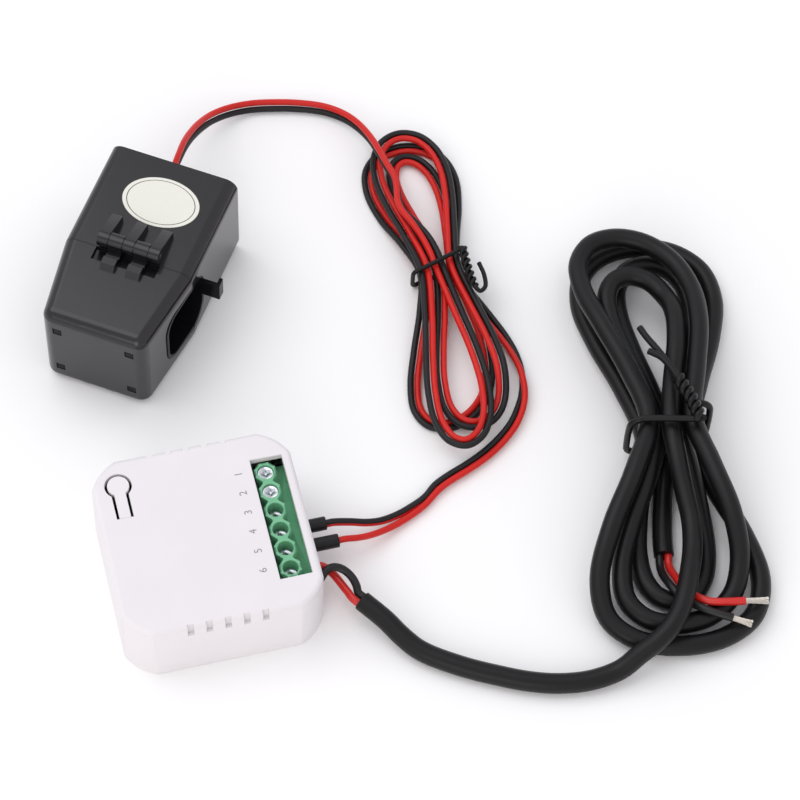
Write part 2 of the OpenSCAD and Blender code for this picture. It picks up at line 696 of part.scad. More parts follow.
module varistor() {
    z = board_top + varistor_up + varistor_d / 2;
    color([0.2, 0.4, 0.7]) translate([varistor_at[0], varistor_at[1], 0]) union() {
        rod_y(0, -varistor_t / 2, varistor_t / 2, z, varistor_d);
        for (side = [-1, 1]) {
            rod(side * varistor_d / 4, 0, board_top, z, leg_d);
        }
    }
}
module fuse_resistor() {
    z = board_top + fuse_d / 2;
    color([0.75, 0.7, 0.6]) union() {
        rod_x(fuse_at[0], fuse_at[0] + fuse_len, fuse_at[1], z, fuse_d);
        for (x = [fuse_at[0] - leg_d, fuse_at[0] + fuse_len]) {
            box(x, x + leg_d, fuse_at[1] - leg_d / 2, fuse_at[1] + leg_d / 2, board_top, z + leg_d / 2);
        }
    }
}

// Current clamp, in its own axes: u along the hinge, v to the back from the parting face
module in_clamp() {
    translate([clamp_at[0], clamp_at[1], 0]) rotate([0, 0, clamp_turn]) children();
}
module window_form(v0, v1, grow, r, len) {
    z0 = mid_z - window_h / 2 - grow;
    z1 = mid_z + window_h / 2 + grow;
    way = v1 > v0 ? 1 : -1;
    end = v1 + way * grow;
    bend = end - way * (r + grow);
    intersection() {
        box(-len, len, min(v0, end), max(v0, end), z0, z1);
        union() {
            box(-len, len, min(v0, bend), max(v0, bend), z0, z1);
            box(-len, len, min(bend, end), max(bend, end), z0 + r + grow, z1 - r - grow);
            for (z = [z0 + r + grow, z1 - r - grow]) {
                rod_x(-len, len, bend, z, 2 * (r + grow));
            }
        }
    }
}
module long_block(w, h, r, v0, v1) {
    box(-w / 2, w / 2, v0, v1, r, h - r);
    box(-w / 2 + r, w / 2 - r, v0, v1, 0, h);
    for (u = [-w / 2 + r, w / 2 - r]) {
        for (z = [r, h - r]) {
            rod_y(u, v0, v1, z, 2 * r);
        }
    }
}
// Plan of the tapering half, drawn in by i and starting at v
function jaw_plan(i, v) = let(f = jaw_front_w / 2, k = (clamp_w / 2 - f) / jaw_len)
    [[clamp_w / 2 + k * v - i, v], [-(clamp_w / 2 + k * v - i), v], [-(f + k * i - i), i - jaw_len],
        [f + k * i - i, i - jaw_len]];
module jaw_prism(i, v, z0, z1) {
    translate([0, 0, z0]) linear_extrude(z1 - z0) polygon(jaw_plan(i, v));
}
module jaw_form() {
    r = clamp_round;
    hull() {
        for (side = [-1, 1]) {
            for (z = [r, clamp_h - r]) {
                translate([side * (clamp_w / 2 - r), -parting - slice_t, z]) rotate([-90, 0, 0])
                    cylinder(r = r, h = slice_t, $fn = round_sides);
                translate([side * (jaw_front_w / 2 - r), r - jaw_len, z]) sphere(r = r, $fn = round_sides);
            }
        }
    }
}
module hinge_rod(u0, u1, d) {
    rod_x(u0, u1, hinge_v, hinge_z, d);
}
module side_plate(u, w, points) {
    translate([u - w / 2, 0, 0]) rotate([90, 0, 90]) linear_extrude(w) polygon(points);
}
module body_arm(u) {
    side_plate(u, arm_w, [[hinge_v, clamp_h - parting], [arm_v, clamp_h - parting], [arm_v, clamp_h + arm_h],
        [hinge_v + hinge_r * sin(arm_lean), hinge_z + hinge_r * cos(arm_lean)], [hinge_v, hinge_z]]);
    hinge_rod(u - arm_w / 2, u + arm_w / 2, 2 * hinge_r);
}
module jaw_arm(u) {
    floor_z = clamp_h - pocket_d - parting;
    front_v = hinge_v - hinge_r * cos(knuckle_front);
    side_plate(u, knuckle_w, [[-tab_v2, floor_z], [-tab_v2, clamp_h], [-tab_v1, clamp_h + tab_h],
        [-tab_v0, clamp_h + tab_h], [-tab_v0 + dip_h, clamp_h + dip_h], [front_v, clamp_h + dip_h],
        [front_v, hinge_z], [hinge_v, hinge_z],
        [hinge_v - hinge_r * sin(knuckle_under), hinge_z - hinge_r * cos(knuckle_under)],
        [-2 * parting, clamp_h + parting], [-2 * parting, floor_z]]);
    hinge_rod(u - knuckle_w / 2, u + knuckle_w / 2, 2 * hinge_r);
}
module clamp_body() {
    hollow = clamp_w / 2 - shell_wall;
    mouth = hollow + liner_ledge;
    color(black) in_clamp() difference() {
        union() {
            difference() {
                long_block(clamp_w, clamp_h, clamp_round, 0, body_len);
                box(-hollow, hollow, -over, body_len - shell_wall, shell_wall, clamp_h - shell_wall);
                box(-mouth, mouth, -over, liner_t, shell_wall - liner_ledge,
                    clamp_h - shell_wall + liner_ledge);
                window_form(-over, window_back, arch_t + fit, arch_back_r, clamp_w);
                for (z = [exit_z - pair_pitch / 2, exit_z + pair_pitch / 2]) {
                    rod_y(exit_u, body_len - shell_wall - over, body_len + over, z, strand_d + 2 * exit_gap);
                }
            }
            for (side = [-1, 1]) {
                translate([side * (rib_u + rib_w / 2), 0, 0])
                    box(-rib_w / 2, rib_w / 2, flange_v1, body_len - shell_wall / 2, shell_wall / 2,
                        clamp_h - shell_wall / 2);
            }
            for (k = [-1:1]) {
                body_arm(k * arm_pitch);
            }
        }
        hinge_rod(-clamp_w / 2, clamp_w / 2, hinge_pin_d + run / 2);
    }
}
module peg(grow, v0, v1) {
    half_w = peg_w / 2 + grow;
    for (side = [-1, 1]) {
        for (up = [-1, 1]) {
            translate([side * peg_u, 0, mid_z + up * (window_h / 2 + arch_t - peg_w / 2)])
                box(-half_w, half_w, v0, v1, -half_w, half_w);
        }
    }
}
module catch(grow_u, grow_z, v0, v1) {
    for (side = [-1, 1]) {
        translate([side * (catch_u + catch_w / 2), 0, 0])
            box(-catch_w / 2 - grow_u, catch_w / 2 + grow_u, v0, v1, catch_z - grow_z,
                catch_z + catch_t + grow_z);
    }
}
module clamp_jaw() {
    mouth = clamp_w / 2 - shell_wall + liner_ledge;
    color(black) in_clamp() difference() {
        union() {
            difference() {
                jaw_form();
                jaw_prism(shell_wall, over, shell_wall, clamp_h - shell_wall);
                box(-mouth, mouth, -parting - liner_t, over, shell_wall - liner_ledge,
                    clamp_h - shell_wall + liner_ledge);
                window_form(over, -window_front, arch_t + fit, arch_front_r, clamp_w);
                box(-pocket_half, pocket_half, -pocket_v, over, clamp_h - pocket_d, clamp_h + over);
                peg(peg_gap, -jaw_len - over, shell_wall - jaw_len + over);
            }
            for (side = [-1, 1]) {
                translate([side * core_half / 2, 0, 0])
                    box(-rib_w / 2, rib_w / 2, shell_wall / 2 - jaw_len, -yoke_v - yoke_t, shell_wall / 2,
                        clamp_h - shell_wall / 2);
                jaw_arm(side * knuckle_u);
            }
        }
        hinge_rod(-clamp_w / 2, clamp_w / 2, hinge_pin_d + 2 * run);
    }
}
module leg_slots(v0, v1, grow) {
    for (z = [leg_z, clamp_h - leg_z - leg_t]) {
        box(-core_half - grow, core_half + grow, v0, v1, z - grow, z + leg_t + grow);
    }
}
module body_liner() {
    rim = clamp_w / 2 - shell_wall + liner_ledge - fit;
    rim_z = shell_wall - liner_ledge + fit;
    side = clamp_w / 2;
    color(black) in_clamp() difference() {
        union() {
            box(-rim, rim, 0, liner_t, rim_z, clamp_h - rim_z);
            window_form(0, window_back, arch_t, arch_back_r, side);
            box(side - over, side + tongue_out, window_back, window_back + arch_t, tongue_z0,
                tongue_z0 + tongue_h);
            box(side + tongue_out - tongue_lip, side + tongue_out, window_back,
                window_back + arch_t + tongue_lip_out, tongue_z0, tongue_z0 + tongue_h);
        }
        window_form(-over, window_back, 0, arch_back_r, clamp_w);
        leg_slots(-over, liner_t + over, run);
        catch(fit, 2 * fit, -over, liner_t + over);
    }
}
module jaw_liner() {
    rim = clamp_w / 2 - shell_wall + liner_ledge - fit;
    rim_z = shell_wall - liner_ledge + fit;
    taper = (clamp_w - jaw_front_w) / jaw_len / 2 * liner_t;
    color(black) in_clamp() difference() {
        union() {
            box(-rim + taper, rim - taper, -parting - liner_t, -parting, rim_z, clamp_h - rim_z);
            intersection() {
                window_form(-parting, -window_front, arch_t, arch_front_r, clamp_w);
                jaw_prism(0, -parting, 0, clamp_h);
            }
            peg(0, parting - jaw_len, -peg_v);
            catch(0, 0, -liner_t, catch_out);
        }
        window_form(over, -window_front, 0, arch_front_r, clamp_w);
        leg_slots(-liner_t - over, over, run);
    }
}
module core_form(v0, v1, v2) {
    low = clamp_h - leg_z - leg_t;
    for (z = [leg_z, low]) {
        box(-core_half, core_half, min(v0, v2), max(v0, v2), z, z + leg_t);
    }
    box(-core_half, core_half, min(v1, v2), max(v1, v2), low, leg_z + leg_t);
}
module body_core() {
    color(ferrite) in_clamp() core_form(0, yoke_v, yoke_v + yoke_t);
}
module jaw_core() {
    color(ferrite) in_clamp() core_form(-parting, -yoke_v, -yoke_v - yoke_t);
}
module spool(grow_u, grow_v, z0, z1) {
    box(-core_half - grow_u, core_half + grow_u, yoke_v - grow_v, yoke_v + yoke_t + grow_v, z0, z1);
}
module bobbin() {
    z0 = clamp_h - leg_z;
    color([0.85, 0.83, 0.75]) in_clamp() difference() {
        union() {
            spool(bobbin_wall + run, bobbin_wall + run, z0, leg_z);
            for (z = [z0, leg_z - flange_t]) {
                box(-flange_half, flange_half, flange_v0, flange_v1, z, z + flange_t);
            }
        }
        spool(run, run, z0 - over, leg_z + over);
    }
}
module winding() {
    z0 = clamp_h - leg_z + flange_t;
    color(copper) in_clamp() difference() {
        box(-flange_half + coil_in, flange_half - coil_in, flange_v0 + coil_in, flange_v1 - coil_in, z0,
            leg_z - flange_t);
        spool(bobbin_wall + run, bobbin_wall + run, z0 - over, leg_z + over);
    }
}
module hinge_pin() {
    reach = arm_pitch + arm_w / 2 - parting;
    color(steel) in_clamp() hinge_rod(-reach, reach, hinge_pin_d);
}
module label() {
    turn = 360 / label_steps;
    rim = [for (k = [0:label_steps - 1]) [label_r[0] * cos(k * turn), label_r[1] * sin(k * turn)]];
    color([0.93, 0.91, 0.82]) in_clamp() translate([label_at[0], label_at[1], clamp_h])
        linear_extrude(label_t) polygon(rim);
}

// Leads, hanks and what is on them
module ct_lead_red() {
    color(red) tube(strand_red, tan_red, strand_r, hank_sides, 0, ct_a);
}
module ct_lead_black() {
    color(black) tube(strand_black, tan_black, strand_r, hank_sides, 0, ct_a);
}
module ct_hank_red() {
    color(red) tube(strand_red, tan_red, strand_r, hank_sides, ct_a, ct_b);
}
module ct_hank_black() {
    color(black) tube(strand_black, tan_black, strand_r, hank_sides, ct_a, ct_b);
}
module ct_tail_red() {
    color(red) tube(strand_red, tan_red, strand_r, hank_sides, ct_b, len(strand_red) - 1);
}
module ct_tail_black() {
    color(black) tube(strand_black, tan_black, strand_r, hank_sides, ct_b, len(strand_black) - 1);
}
module ct_sleeves() {
    color(black) {
        for (k = [ct_black_pole, ct_red_pole]) {
            end = sleeve_end[k - ct_black_pole];
            difference() {
                rod_x(block_x1 + fit, end, pole_y(k), wire_z, sleeve_d);
                rod_x(block_x1 + fit - over, end + over, pole_y(k), wire_z, strand_d + 2 * run);
            }
        }
    }
}
module ct_tie() {
    T = tangents(ct_tie_path);
    color(black) tube(ct_tie_path, T, ct_tie_r, tie_sides, 0, len(ct_tie_path) - 1);
}
module core_red() {
    T = tangents(red_path, [1, 0, 0], jacket_t);
    color(red) tube(red_path, T, core_r, strand_sides, 0, len(red_path) - 1);
}
module core_black() {
    T = tangents(black_path, [1, 0, 0], jacket_t);
    color(black) tube(black_path, T, core_r, strand_sides, 0, len(black_path) - 1);
}
module mains_lead() {
    color(black) tube(mains_path, mains_tan, jacket_r, hank_sides, 0, mains_a);
}
module mains_hank() {
    color(black) tube(mains_path, mains_tan, jacket_r, hank_sides, mains_a, mains_b);
}
module end_red() {
    T = tangents(end_red_path, end_t, tip_red_w[1] - tip_red_w[0]);
    color(red) tube(end_red_path, T, core_r, strand_sides, 0, len(end_red_path) - 1);
}
module end_black() {
    T = tangents(end_black_path, end_t, tip_black_w[1] - tip_black_w[0]);
    color(black) tube(end_black_path, T, core_r, strand_sides, 0, len(end_black_path) - 1);
}
module wire_tips() {
    color(steel) {
        for (k = [open_poles + 1:poles]) {
            rod_x(cell_x0 + frame_t + 2 * fit, block_x1 + fit, pole_y(k), wire_z, tip_d);
        }
        tube(tip_red_w, tangents(tip_red_w), tip_r, strand_sides, 0, 1);
        tube(tip_black_w, tangents(tip_black_w), tip_r, strand_sides, 0, 1);
    }
}
module mains_tie() {
    T = tangents(mains_tie_path);
    color(black) tube(mains_tie_path, T, mains_tie_r, tie_sides, 0, len(mains_tie_path) - 1);
}

module_base();
module_cover();
button_tongue();
circuit_board();
tact_switch();
switch_plunger();
terminal_block();
terminal_frames();
terminal_plate(1);  // terminal_plate_1
terminal_plate(2);  // terminal_plate_2
terminal_plate(3);  // terminal_plate_3
terminal_plate(4);  // terminal_plate_4
terminal_plate(5);  // terminal_plate_5
terminal_plate(6);  // terminal_plate_6
terminal_screw(1);  // terminal_screw_1
terminal_screw(2);  // terminal_screw_2
terminal_screw(3);  // terminal_screw_3
terminal_screw(4);  // terminal_screw_4
terminal_screw(5);  // terminal_screw_5
terminal_screw(6);  // terminal_screw_6
radio_board();
radio_shield();
metering_chip();
supply_capacitor();
supply_transformer();
varistor();
fuse_resistor();
clamp_body();
clamp_jaw();
body_liner();
jaw_liner();
body_core();
jaw_core();
bobbin();
winding();
hinge_pin();
label();
ct_lead_red();
ct_lead_black();
ct_hank_red();
ct_hank_black();
ct_tail_red();
ct_tail_black();
ct_sleeves();
ct_tie();
core_red();
core_black();
mains_lead();
mains_hank();
end_red();
end_black();
wire_tips();
mains_tie();
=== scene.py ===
"""Smart energy monitor: metering module, split-core clamp and two tied leads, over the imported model."""

import math

import bmesh
import bpy
from mathutils import Matrix, Vector


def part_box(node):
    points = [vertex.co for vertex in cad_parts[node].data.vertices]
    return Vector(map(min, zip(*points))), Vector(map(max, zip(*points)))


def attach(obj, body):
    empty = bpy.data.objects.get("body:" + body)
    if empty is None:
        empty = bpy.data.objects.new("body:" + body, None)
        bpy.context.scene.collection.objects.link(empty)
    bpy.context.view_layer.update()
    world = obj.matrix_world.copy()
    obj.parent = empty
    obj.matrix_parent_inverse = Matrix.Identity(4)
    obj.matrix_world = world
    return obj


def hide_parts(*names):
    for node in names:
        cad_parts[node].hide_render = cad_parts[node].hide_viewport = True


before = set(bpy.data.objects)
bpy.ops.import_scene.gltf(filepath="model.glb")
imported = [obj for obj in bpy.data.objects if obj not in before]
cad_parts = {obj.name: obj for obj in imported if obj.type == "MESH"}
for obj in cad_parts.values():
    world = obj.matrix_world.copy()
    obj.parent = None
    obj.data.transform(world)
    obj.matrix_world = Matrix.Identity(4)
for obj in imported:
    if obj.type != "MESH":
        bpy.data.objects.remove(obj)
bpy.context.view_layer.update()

# Sizes and routes are in millimetres and angles in degrees; lamps, floor and clipping are in metres

MM = 0.001
UP = Vector((0, 0, 1))
# The six terminals, counted from the back
POLES = range(1, 7)


def put(name, data):
    """A new object with that data, in the scene."""
    thing = bpy.data.objects.new(name, data)
    bpy.context.scene.collection.objects.link(thing)
    return thing


def mesh_of(source):
    """The final mesh of an object, which is then removed."""
    mesh = bpy.data.meshes.new_from_object(source.evaluated_get(bpy.context.evaluated_depsgraph_get()))
    bpy.data.objects.remove(source)
    return mesh


def stand_for(piece, slot_name, body, *nodes):
    """Puts a piece on its body in place of the CAD solids that it stands for."""
    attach(piece, body)
    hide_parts(*nodes)
    return piece


# Camera at the photograph's viewing angle

VIEW_AZIMUTH = -16.58
VIEW_ELEVATION = 58.22
VIEW_ROLL = -3.0
VIEW_TARGET = (53.93, 35.05, 0)
VIEW_DISTANCE = 758.58
VIEW_LENS = 144
VIEW_SENSOR = 36
VIEW_CLIP = (0.01, 20)


def make_camera():
    azimuth, elevation, roll = map(math.radians, (VIEW_AZIMUTH, VIEW_ELEVATION, VIEW_ROLL))
    back = Vector((math.sin(azimuth) * math.cos(elevation), -math.cos(azimuth) * math.cos(elevation),
                   math.sin(elevation)))
    right = (-back).cross(UP).normalized()
    down = (-back).cross(right)
    rolled_right = right * math.cos(roll) + down * math.sin(roll)
    rolled_down = down * math.cos(roll) - right * math.sin(roll)
    turn = Matrix((rolled_right, -rolled_down, back)).transposed()
    data = bpy.data.cameras.new("camera")
    data.lens, data.sensor_width = VIEW_LENS, VIEW_SENSOR
    data.clip_start, data.clip_end = VIEW_CLIP
    camera = put("camera", data)
    place = (Vector(VIEW_TARGET) + back * VIEW_DISTANCE) * MM
    camera.matrix_world = Matrix.Translation(place) @ turn.to_4x4()
    bpy.context.scene.camera = camera


make_camera()


# Nodes and colours

# Colour sockets of the Mix node, whose names repeat
MIX_FACTOR, MIX_A, MIX_B, MIX_RESULT = 0, 6, 7, 2


def srgb(code):
    """Linear colour of an sRGB hex value."""
    parts = [int(code[i:i + 2], 16) / 255 for i in (1, 3, 5)]
    return [c / 12.92 if c <= 0.04045 else ((c + 0.055) / 1.055) ** 2.4 for c in parts] + [1]


def add(tree, kind, inputs=None, **settings):
    """A node with its settings, and its inputs set to values or linked to sockets."""
    node = tree.nodes.new(kind)
    for name, value in settings.items():
        setattr(node, name, value)
    for name, value in (inputs or {}).items():
        if isinstance(value, bpy.types.NodeSocket):
            tree.links.new(value, node.inputs[name])
        else:
            node.inputs[name].default_value = value
    return node


def maths(tree, operation, *values):
    return add(tree, "ShaderNodeMath", dict(enumerate(values)), operation=operation).outputs[0]


def vectors(tree, operation, first, second):
    other = "Scale" if operation == "SCALE" else 1
    return add(tree, "ShaderNodeVectorMath", {0: first, other: second}, operation=operation).outputs[0]


def mixed(tree, factor, first, second):
    inputs = {MIX_FACTOR: factor, MIX_A: first, MIX_B: second}
    return add(tree, "ShaderNodeMix", inputs, data_type="RGBA").outputs[MIX_RESULT]


def ranged(tree, value, low, high):
    """A value from 0 to 1 spread from low to high."""
    return add(tree, "ShaderNodeMapRange", {"Value": value, "To Min": low, "To Max": high}).outputs[0]


def noise(tree, place, size, detail):
    """Noise whose features are that many millimetres wide."""
    inputs = {"Vector": place, "Scale": per_mm(size), "Detail": detail}
    return add(tree, "ShaderNodeTexNoise", inputs).outputs[0]


def per_mm(size):
    """Texture scale at which one feature is that many millimetres wide."""
    return 1 / (size * MM)


def start_material(name, **sockets):
    """A new material with one Principled shader, whose sockets are set by name."""
    material = bpy.data.materials.new(name)
    material.use_nodes = True
    tree = material.node_tree
    tree.nodes.clear()
    shader = add(tree, "ShaderNodeBsdfPrincipled", {k.replace("_", " "): v for k, v in sockets.items()})
    add(tree, "ShaderNodeOutputMaterial", {"Surface": shader.outputs[0]})
    place = add(tree, "ShaderNodeTexCoord").outputs["Object"]
    return material, tree, shader, place


def shade_between(tree, shader, factor, dark, light):
    tree.links.new(mixed(tree, factor, srgb(dark), srgb(light)), shader.inputs["Base Color"])


def gloss_between(tree, shader, factor, low, high):
    tree.links.new(ranged(tree, factor, low, high), shader.inputs["Roughness"])


def bump_from(tree, shader, height, depth):
    bump = add(tree, "ShaderNodeBump", {"Height": height, "Distance": depth * MM, "Strength": 1})
    tree.links.new(bump.outputs[0], shader.inputs["Normal"])


def moulded(name, dark, light, rough, cloud, grain, depth, **sockets):
    """Moulded or extruded plastic: faint clouds in its colour, uneven gloss and a fine surface grain."""
    material, tree, shader, place = start_material(name, **sockets)
    grains = noise(tree, place, grain, detail=2)
    shade_between(tree, shader, noise(tree, place, cloud, detail=3), dark, light)
    gloss_between(tree, shader, grains, *rough)
    bump_from(tree, shader, grains, depth)
    return material


def metal(name, dark, light, rough, grain, stretch, depth):
    """Plated or drawn metal: streaks along one direction in its colour, gloss and surface."""
    material, tree, shader, place = start_material(name, Metallic=1.0)
    drawn = add(tree, "ShaderNodeMapping", {"Vector": place, "Scale": stretch}).outputs[0]
    streaks = noise(tree, drawn, grain, detail=4)
    shade_between(tree, shader, streaks, dark, light)
    gloss_between(tree, shader, streaks, *rough)
    bump_from(tree, shader, streaks, depth)
    return material


# Share of the pitch that a track takes, and the step of the surface at its edge
TRACK_SHARE = 0.09
TRACK_STEP = -0.03


def solder_masked(name, mask, track, pitch):
    """Circuit board: glass laminate under a glossy mask, with the copper tracks showing as paler lines."""
    material, tree, shader, place = start_material(name, Roughness=0.32, IOR=1.5)
    tracks = add(tree, "ShaderNodeTexBrick", {
        "Vector": place, "Scale": per_mm(pitch), "Mortar Size": TRACK_SHARE,
        "Color1": srgb(mask), "Color2": srgb(mask), "Mortar": srgb(track)})
    tree.links.new(tracks.outputs[0], shader.inputs["Base Color"])
    bump_from(tree, shader, tracks.outputs["Fac"], TRACK_STEP)
    return material


# Attribute of the faces that an unpolished part of the mould makes
UNPOLISHED = "unpolished"


def dull_inside(material, dull, polished):
    """Lower gloss where a piece says that its faces are unpolished."""
    tree = material.node_tree
    shader = next(n for n in tree.nodes if n.type == "BSDF_PRINCIPLED")
    unpolished = add(tree, "ShaderNodeAttribute", attribute_name=UNPOLISHED).outputs["Fac"]
    tree.links.new(ranged(tree, unpolished, polished, dull), shader.inputs["Specular IOR Level"])
    return material


CLAMP_AT = (-2.9, 72)
CLAMP_TURN = -34
LABEL_AT = (1.3, 16.8)
LABEL_RADII = (9.4, 6.9)
# The printed ring and half its width, as shares of the label's radii
LABEL_RING = 0.885
LABEL_RING_WIDTH = 0.012
LABEL_FIBRE = 0.4
LABEL_BUMP = 0.003


def clamp_point(u, v, z):
    """A point of the clamp in its own axes: u along the hinge, v back from the parting face."""
    a = math.radians(CLAMP_TURN)
    return Vector((CLAMP_AT[0] + u * math.cos(a) - v * math.sin(a),
                   CLAMP_AT[1] + u * math.sin(a) + v * math.cos(a), z))


def label_paper():
    """Coated paper: cream white, smooth, with a thin printed ring inside its rim."""
    material, tree, shader, place = start_material("coated_label_paper", Roughness=0.42, IOR=1.5)
    centred = add(tree, "ShaderNodeMapping", {
        "Vector": place, "Location": clamp_point(*LABEL_AT, 0) * MM,
        "Rotation": (0, 0, math.radians(CLAMP_TURN)),
        "Scale": (LABEL_RADII[0] * MM, LABEL_RADII[1] * MM, 1)}, vector_type="TEXTURE")
    level = vectors(tree, "MULTIPLY", centred.outputs[0], (1, 1, 0))
    radius = add(tree, "ShaderNodeVectorMath", {0: level}, operation="LENGTH").outputs["Value"]
    ring = maths(tree, "COMPARE", radius, LABEL_RING, LABEL_RING_WIDTH)
    fibre = noise(tree, place, LABEL_FIBRE, detail=4)
    paper = mixed(tree, fibre, srgb("#E2E1D5"), srgb("#EBEAE0"))
    printed = mixed(tree, ring, paper, srgb("#4A4B48"))
    tree.links.new(printed, shader.inputs["Base Color"])
    bump_from(tree, shader, fibre, LABEL_BUMP)
    return material


# Finishes by the record's material slots

FINISHES = {
    # Moulded PC/ABS, spark-eroded mould: matt lilac white with a barely visible texture
    "case_plastic": moulded("moulded_pc_abs_white", "#E3DFE1", "#E9E5E7", rough=(0.36, 0.5), cloud=14,
                            grain=0.22, depth=0.004, IOR=1.55),
    # Moulded ABS from a polished mould: deep black, glossy, with a soft uneven sheen.
    # The liners and their pegs come from an unpolished mould, so they look deeper black
    "clamp_abs": dull_inside(moulded("moulded_abs_black", "#0E0E12", "#15151A", rough=(0.15, 0.24), cloud=9,
                                     grain=0.5, depth=0.002, IOR=1.54), dull=0.06, polished=0.5),
    # Moulded polyamide: leaf green with a satin face
    "terminal_polyamide": moulded("moulded_polyamide_green", "#62AC80", "#7DC398", rough=(0.34, 0.48),
                                  cloud=3, grain=0.2, depth=0.003, IOR=1.53, Subsurface_Weight=0.15,
                                  Subsurface_Scale=0.8 * MM),
    # Zinc-plated steel, turned: bright, cool grey with fine rings of the tool
    "plated_steel": metal("zinc_plated_steel", "#B9BDC4", "#E6E9EE", rough=(0.16, 0.34), grain=0.25,
                          stretch=(1, 1, 4), depth=0.006),
    # Tin-plated sheet: soft grey with a rolled grain
    "shield_steel": metal("tin_plated_sheet", "#AEB1B5", "#CDD0D3", rough=(0.3, 0.45), grain=0.3,
                          stretch=(0.1, 1, 1), depth=0.002),
    # Tinned copper strands: pale, slightly warm silver
    "tinned_copper": metal("tinned_copper", "#B9B2A6", "#E9E5DC", rough=(0.22, 0.38), grain=0.15,
                           stretch=(1, 1, 1), depth=0.003),
    # Extruded PVC on the clamp's lead: bright red, satin
    "strand_red": moulded("extruded_pvc_red", "#C21912", "#D62018", rough=(0.33, 0.46), cloud=6, grain=0.35,
                          depth=0.006, IOR=1.53, Specular_IOR_Level=0.3),
    # The same PVC in charcoal black
    "strand_black": moulded("extruded_pvc_black", "#121113", "#1B1A1C", rough=(0.36, 0.5), cloud=6,
                            grain=0.35, depth=0.006, IOR=1.53, Specular_IOR_Level=0.3),
    # Core insulation of the mains cable, harder and glossier than the strands
    "core_red_pvc": moulded("core_pvc_red", "#C01A16", "#DA2620", rough=(0.26, 0.4), cloud=4, grain=0.3,
                            depth=0.004, IOR=1.53),
    "core_black_pvc": moulded("core_pvc_black", "#121213", "#1B1B1D", rough=(0.26, 0.4), cloud=4, grain=0.3,
                              depth=0.004, IOR=1.53, Specular_IOR_Level=0.35),
    # Soft PVC jacket: dull black with faint ripples from the extruder
    "jacket_pvc": moulded("jacket_pvc_black", "#0A0A0B", "#121213", rough=(0.34, 0.48), cloud=8, grain=0.6,
                          depth=0.012, IOR=1.53, Specular_IOR_Level=0.26),
    # Shrunk polyolefin sleeve: satin black
    "shrink_sleeve": moulded("shrunk_polyolefin", "#111112", "#1A1A1C", rough=(0.34, 0.46), cloud=2,
                             grain=0.4, depth=0.01, IOR=1.5, Specular_IOR_Level=0.3),
    # Plastic-coated tie wire: black with a slight shine
    "tie_wire": moulded("coated_tie_wire", "#0B0B0C", "#141415", rough=(0.3, 0.45), cloud=2, grain=0.3,
                        depth=0.008, IOR=1.5, Specular_IOR_Level=0.26),
    # Moulded polyamide of the switch: satin black
    "switch_plastic": moulded("moulded_polyamide_black", "#131314", "#1B1B1D", rough=(0.35, 0.5), cloud=2,
                              grain=0.2, depth=0.003),
    # Moulded epoxy of a chip: dull black
    "chip_epoxy": moulded("moulded_epoxy_black", "#121213", "#1A1A1B", rough=(0.5, 0.65), cloud=2,
                          grain=0.12, depth=0.006),
    # Shrunk PVC round the capacitor's can: blue black
    "capacitor_sleeve": moulded("shrunk_pvc_blue_black", "#1E2230", "#2A3042", rough=(0.25, 0.38), cloud=3,
                                grain=0.4, depth=0.004),
    # Polyester tape round the transformer: glossy yellow
    "transformer_tape": moulded("polyester_tape_yellow", "#D8BC3F", "#E9CF55", rough=(0.2, 0.34), cloud=4,
                                grain=0.6, depth=0.01),
    # Epoxy that the varistor is dipped in: blue, uneven
    "varistor_epoxy": moulded("dipped_epoxy_blue", "#2A5EA8", "#356FBE", rough=(0.3, 0.45), cloud=2,
                              grain=0.5, depth=0.02),
    # Ceramic coat of the resistor: dull beige
    "resistor_ceramic": moulded("dipped_ceramic_beige", "#BBAF97", "#CDC1A8", rough=(0.5, 0.65), cloud=1.5,
                                grain=0.3, depth=0.015),
    # Natural nylon of the bobbin: ivory
    "bobbin_nylon": moulded("moulded_nylon_natural", "#DAD4BF", "#E6E1CF", rough=(0.4, 0.55), cloud=4,
                            grain=0.3, depth=0.004),
    # Sintered ferrite: dark grey, grainy
    "ferrite": moulded("sintered_ferrite", "#2C2C2F", "#3B3B3F", rough=(0.45, 0.62), cloud=1.2, grain=0.12,
                       depth=0.008),
    # Enamelled copper wire in many turns: streaks along the winding
    "enamelled_copper": metal("enamelled_copper_winding", "#8C4A22", "#C77A43", rough=(0.2, 0.35), grain=0.3,
                              stretch=(0.05, 0.05, 1), depth=0.05),
    "board_laminate": solder_masked("glass_laminate_green", "#14522C", "#1F6B3C", pitch=2.2),
    "radio_laminate": solder_masked("glass_laminate_blue", "#152F66", "#20407E", pitch=1.2),
    "label_paper": label_paper(),
}

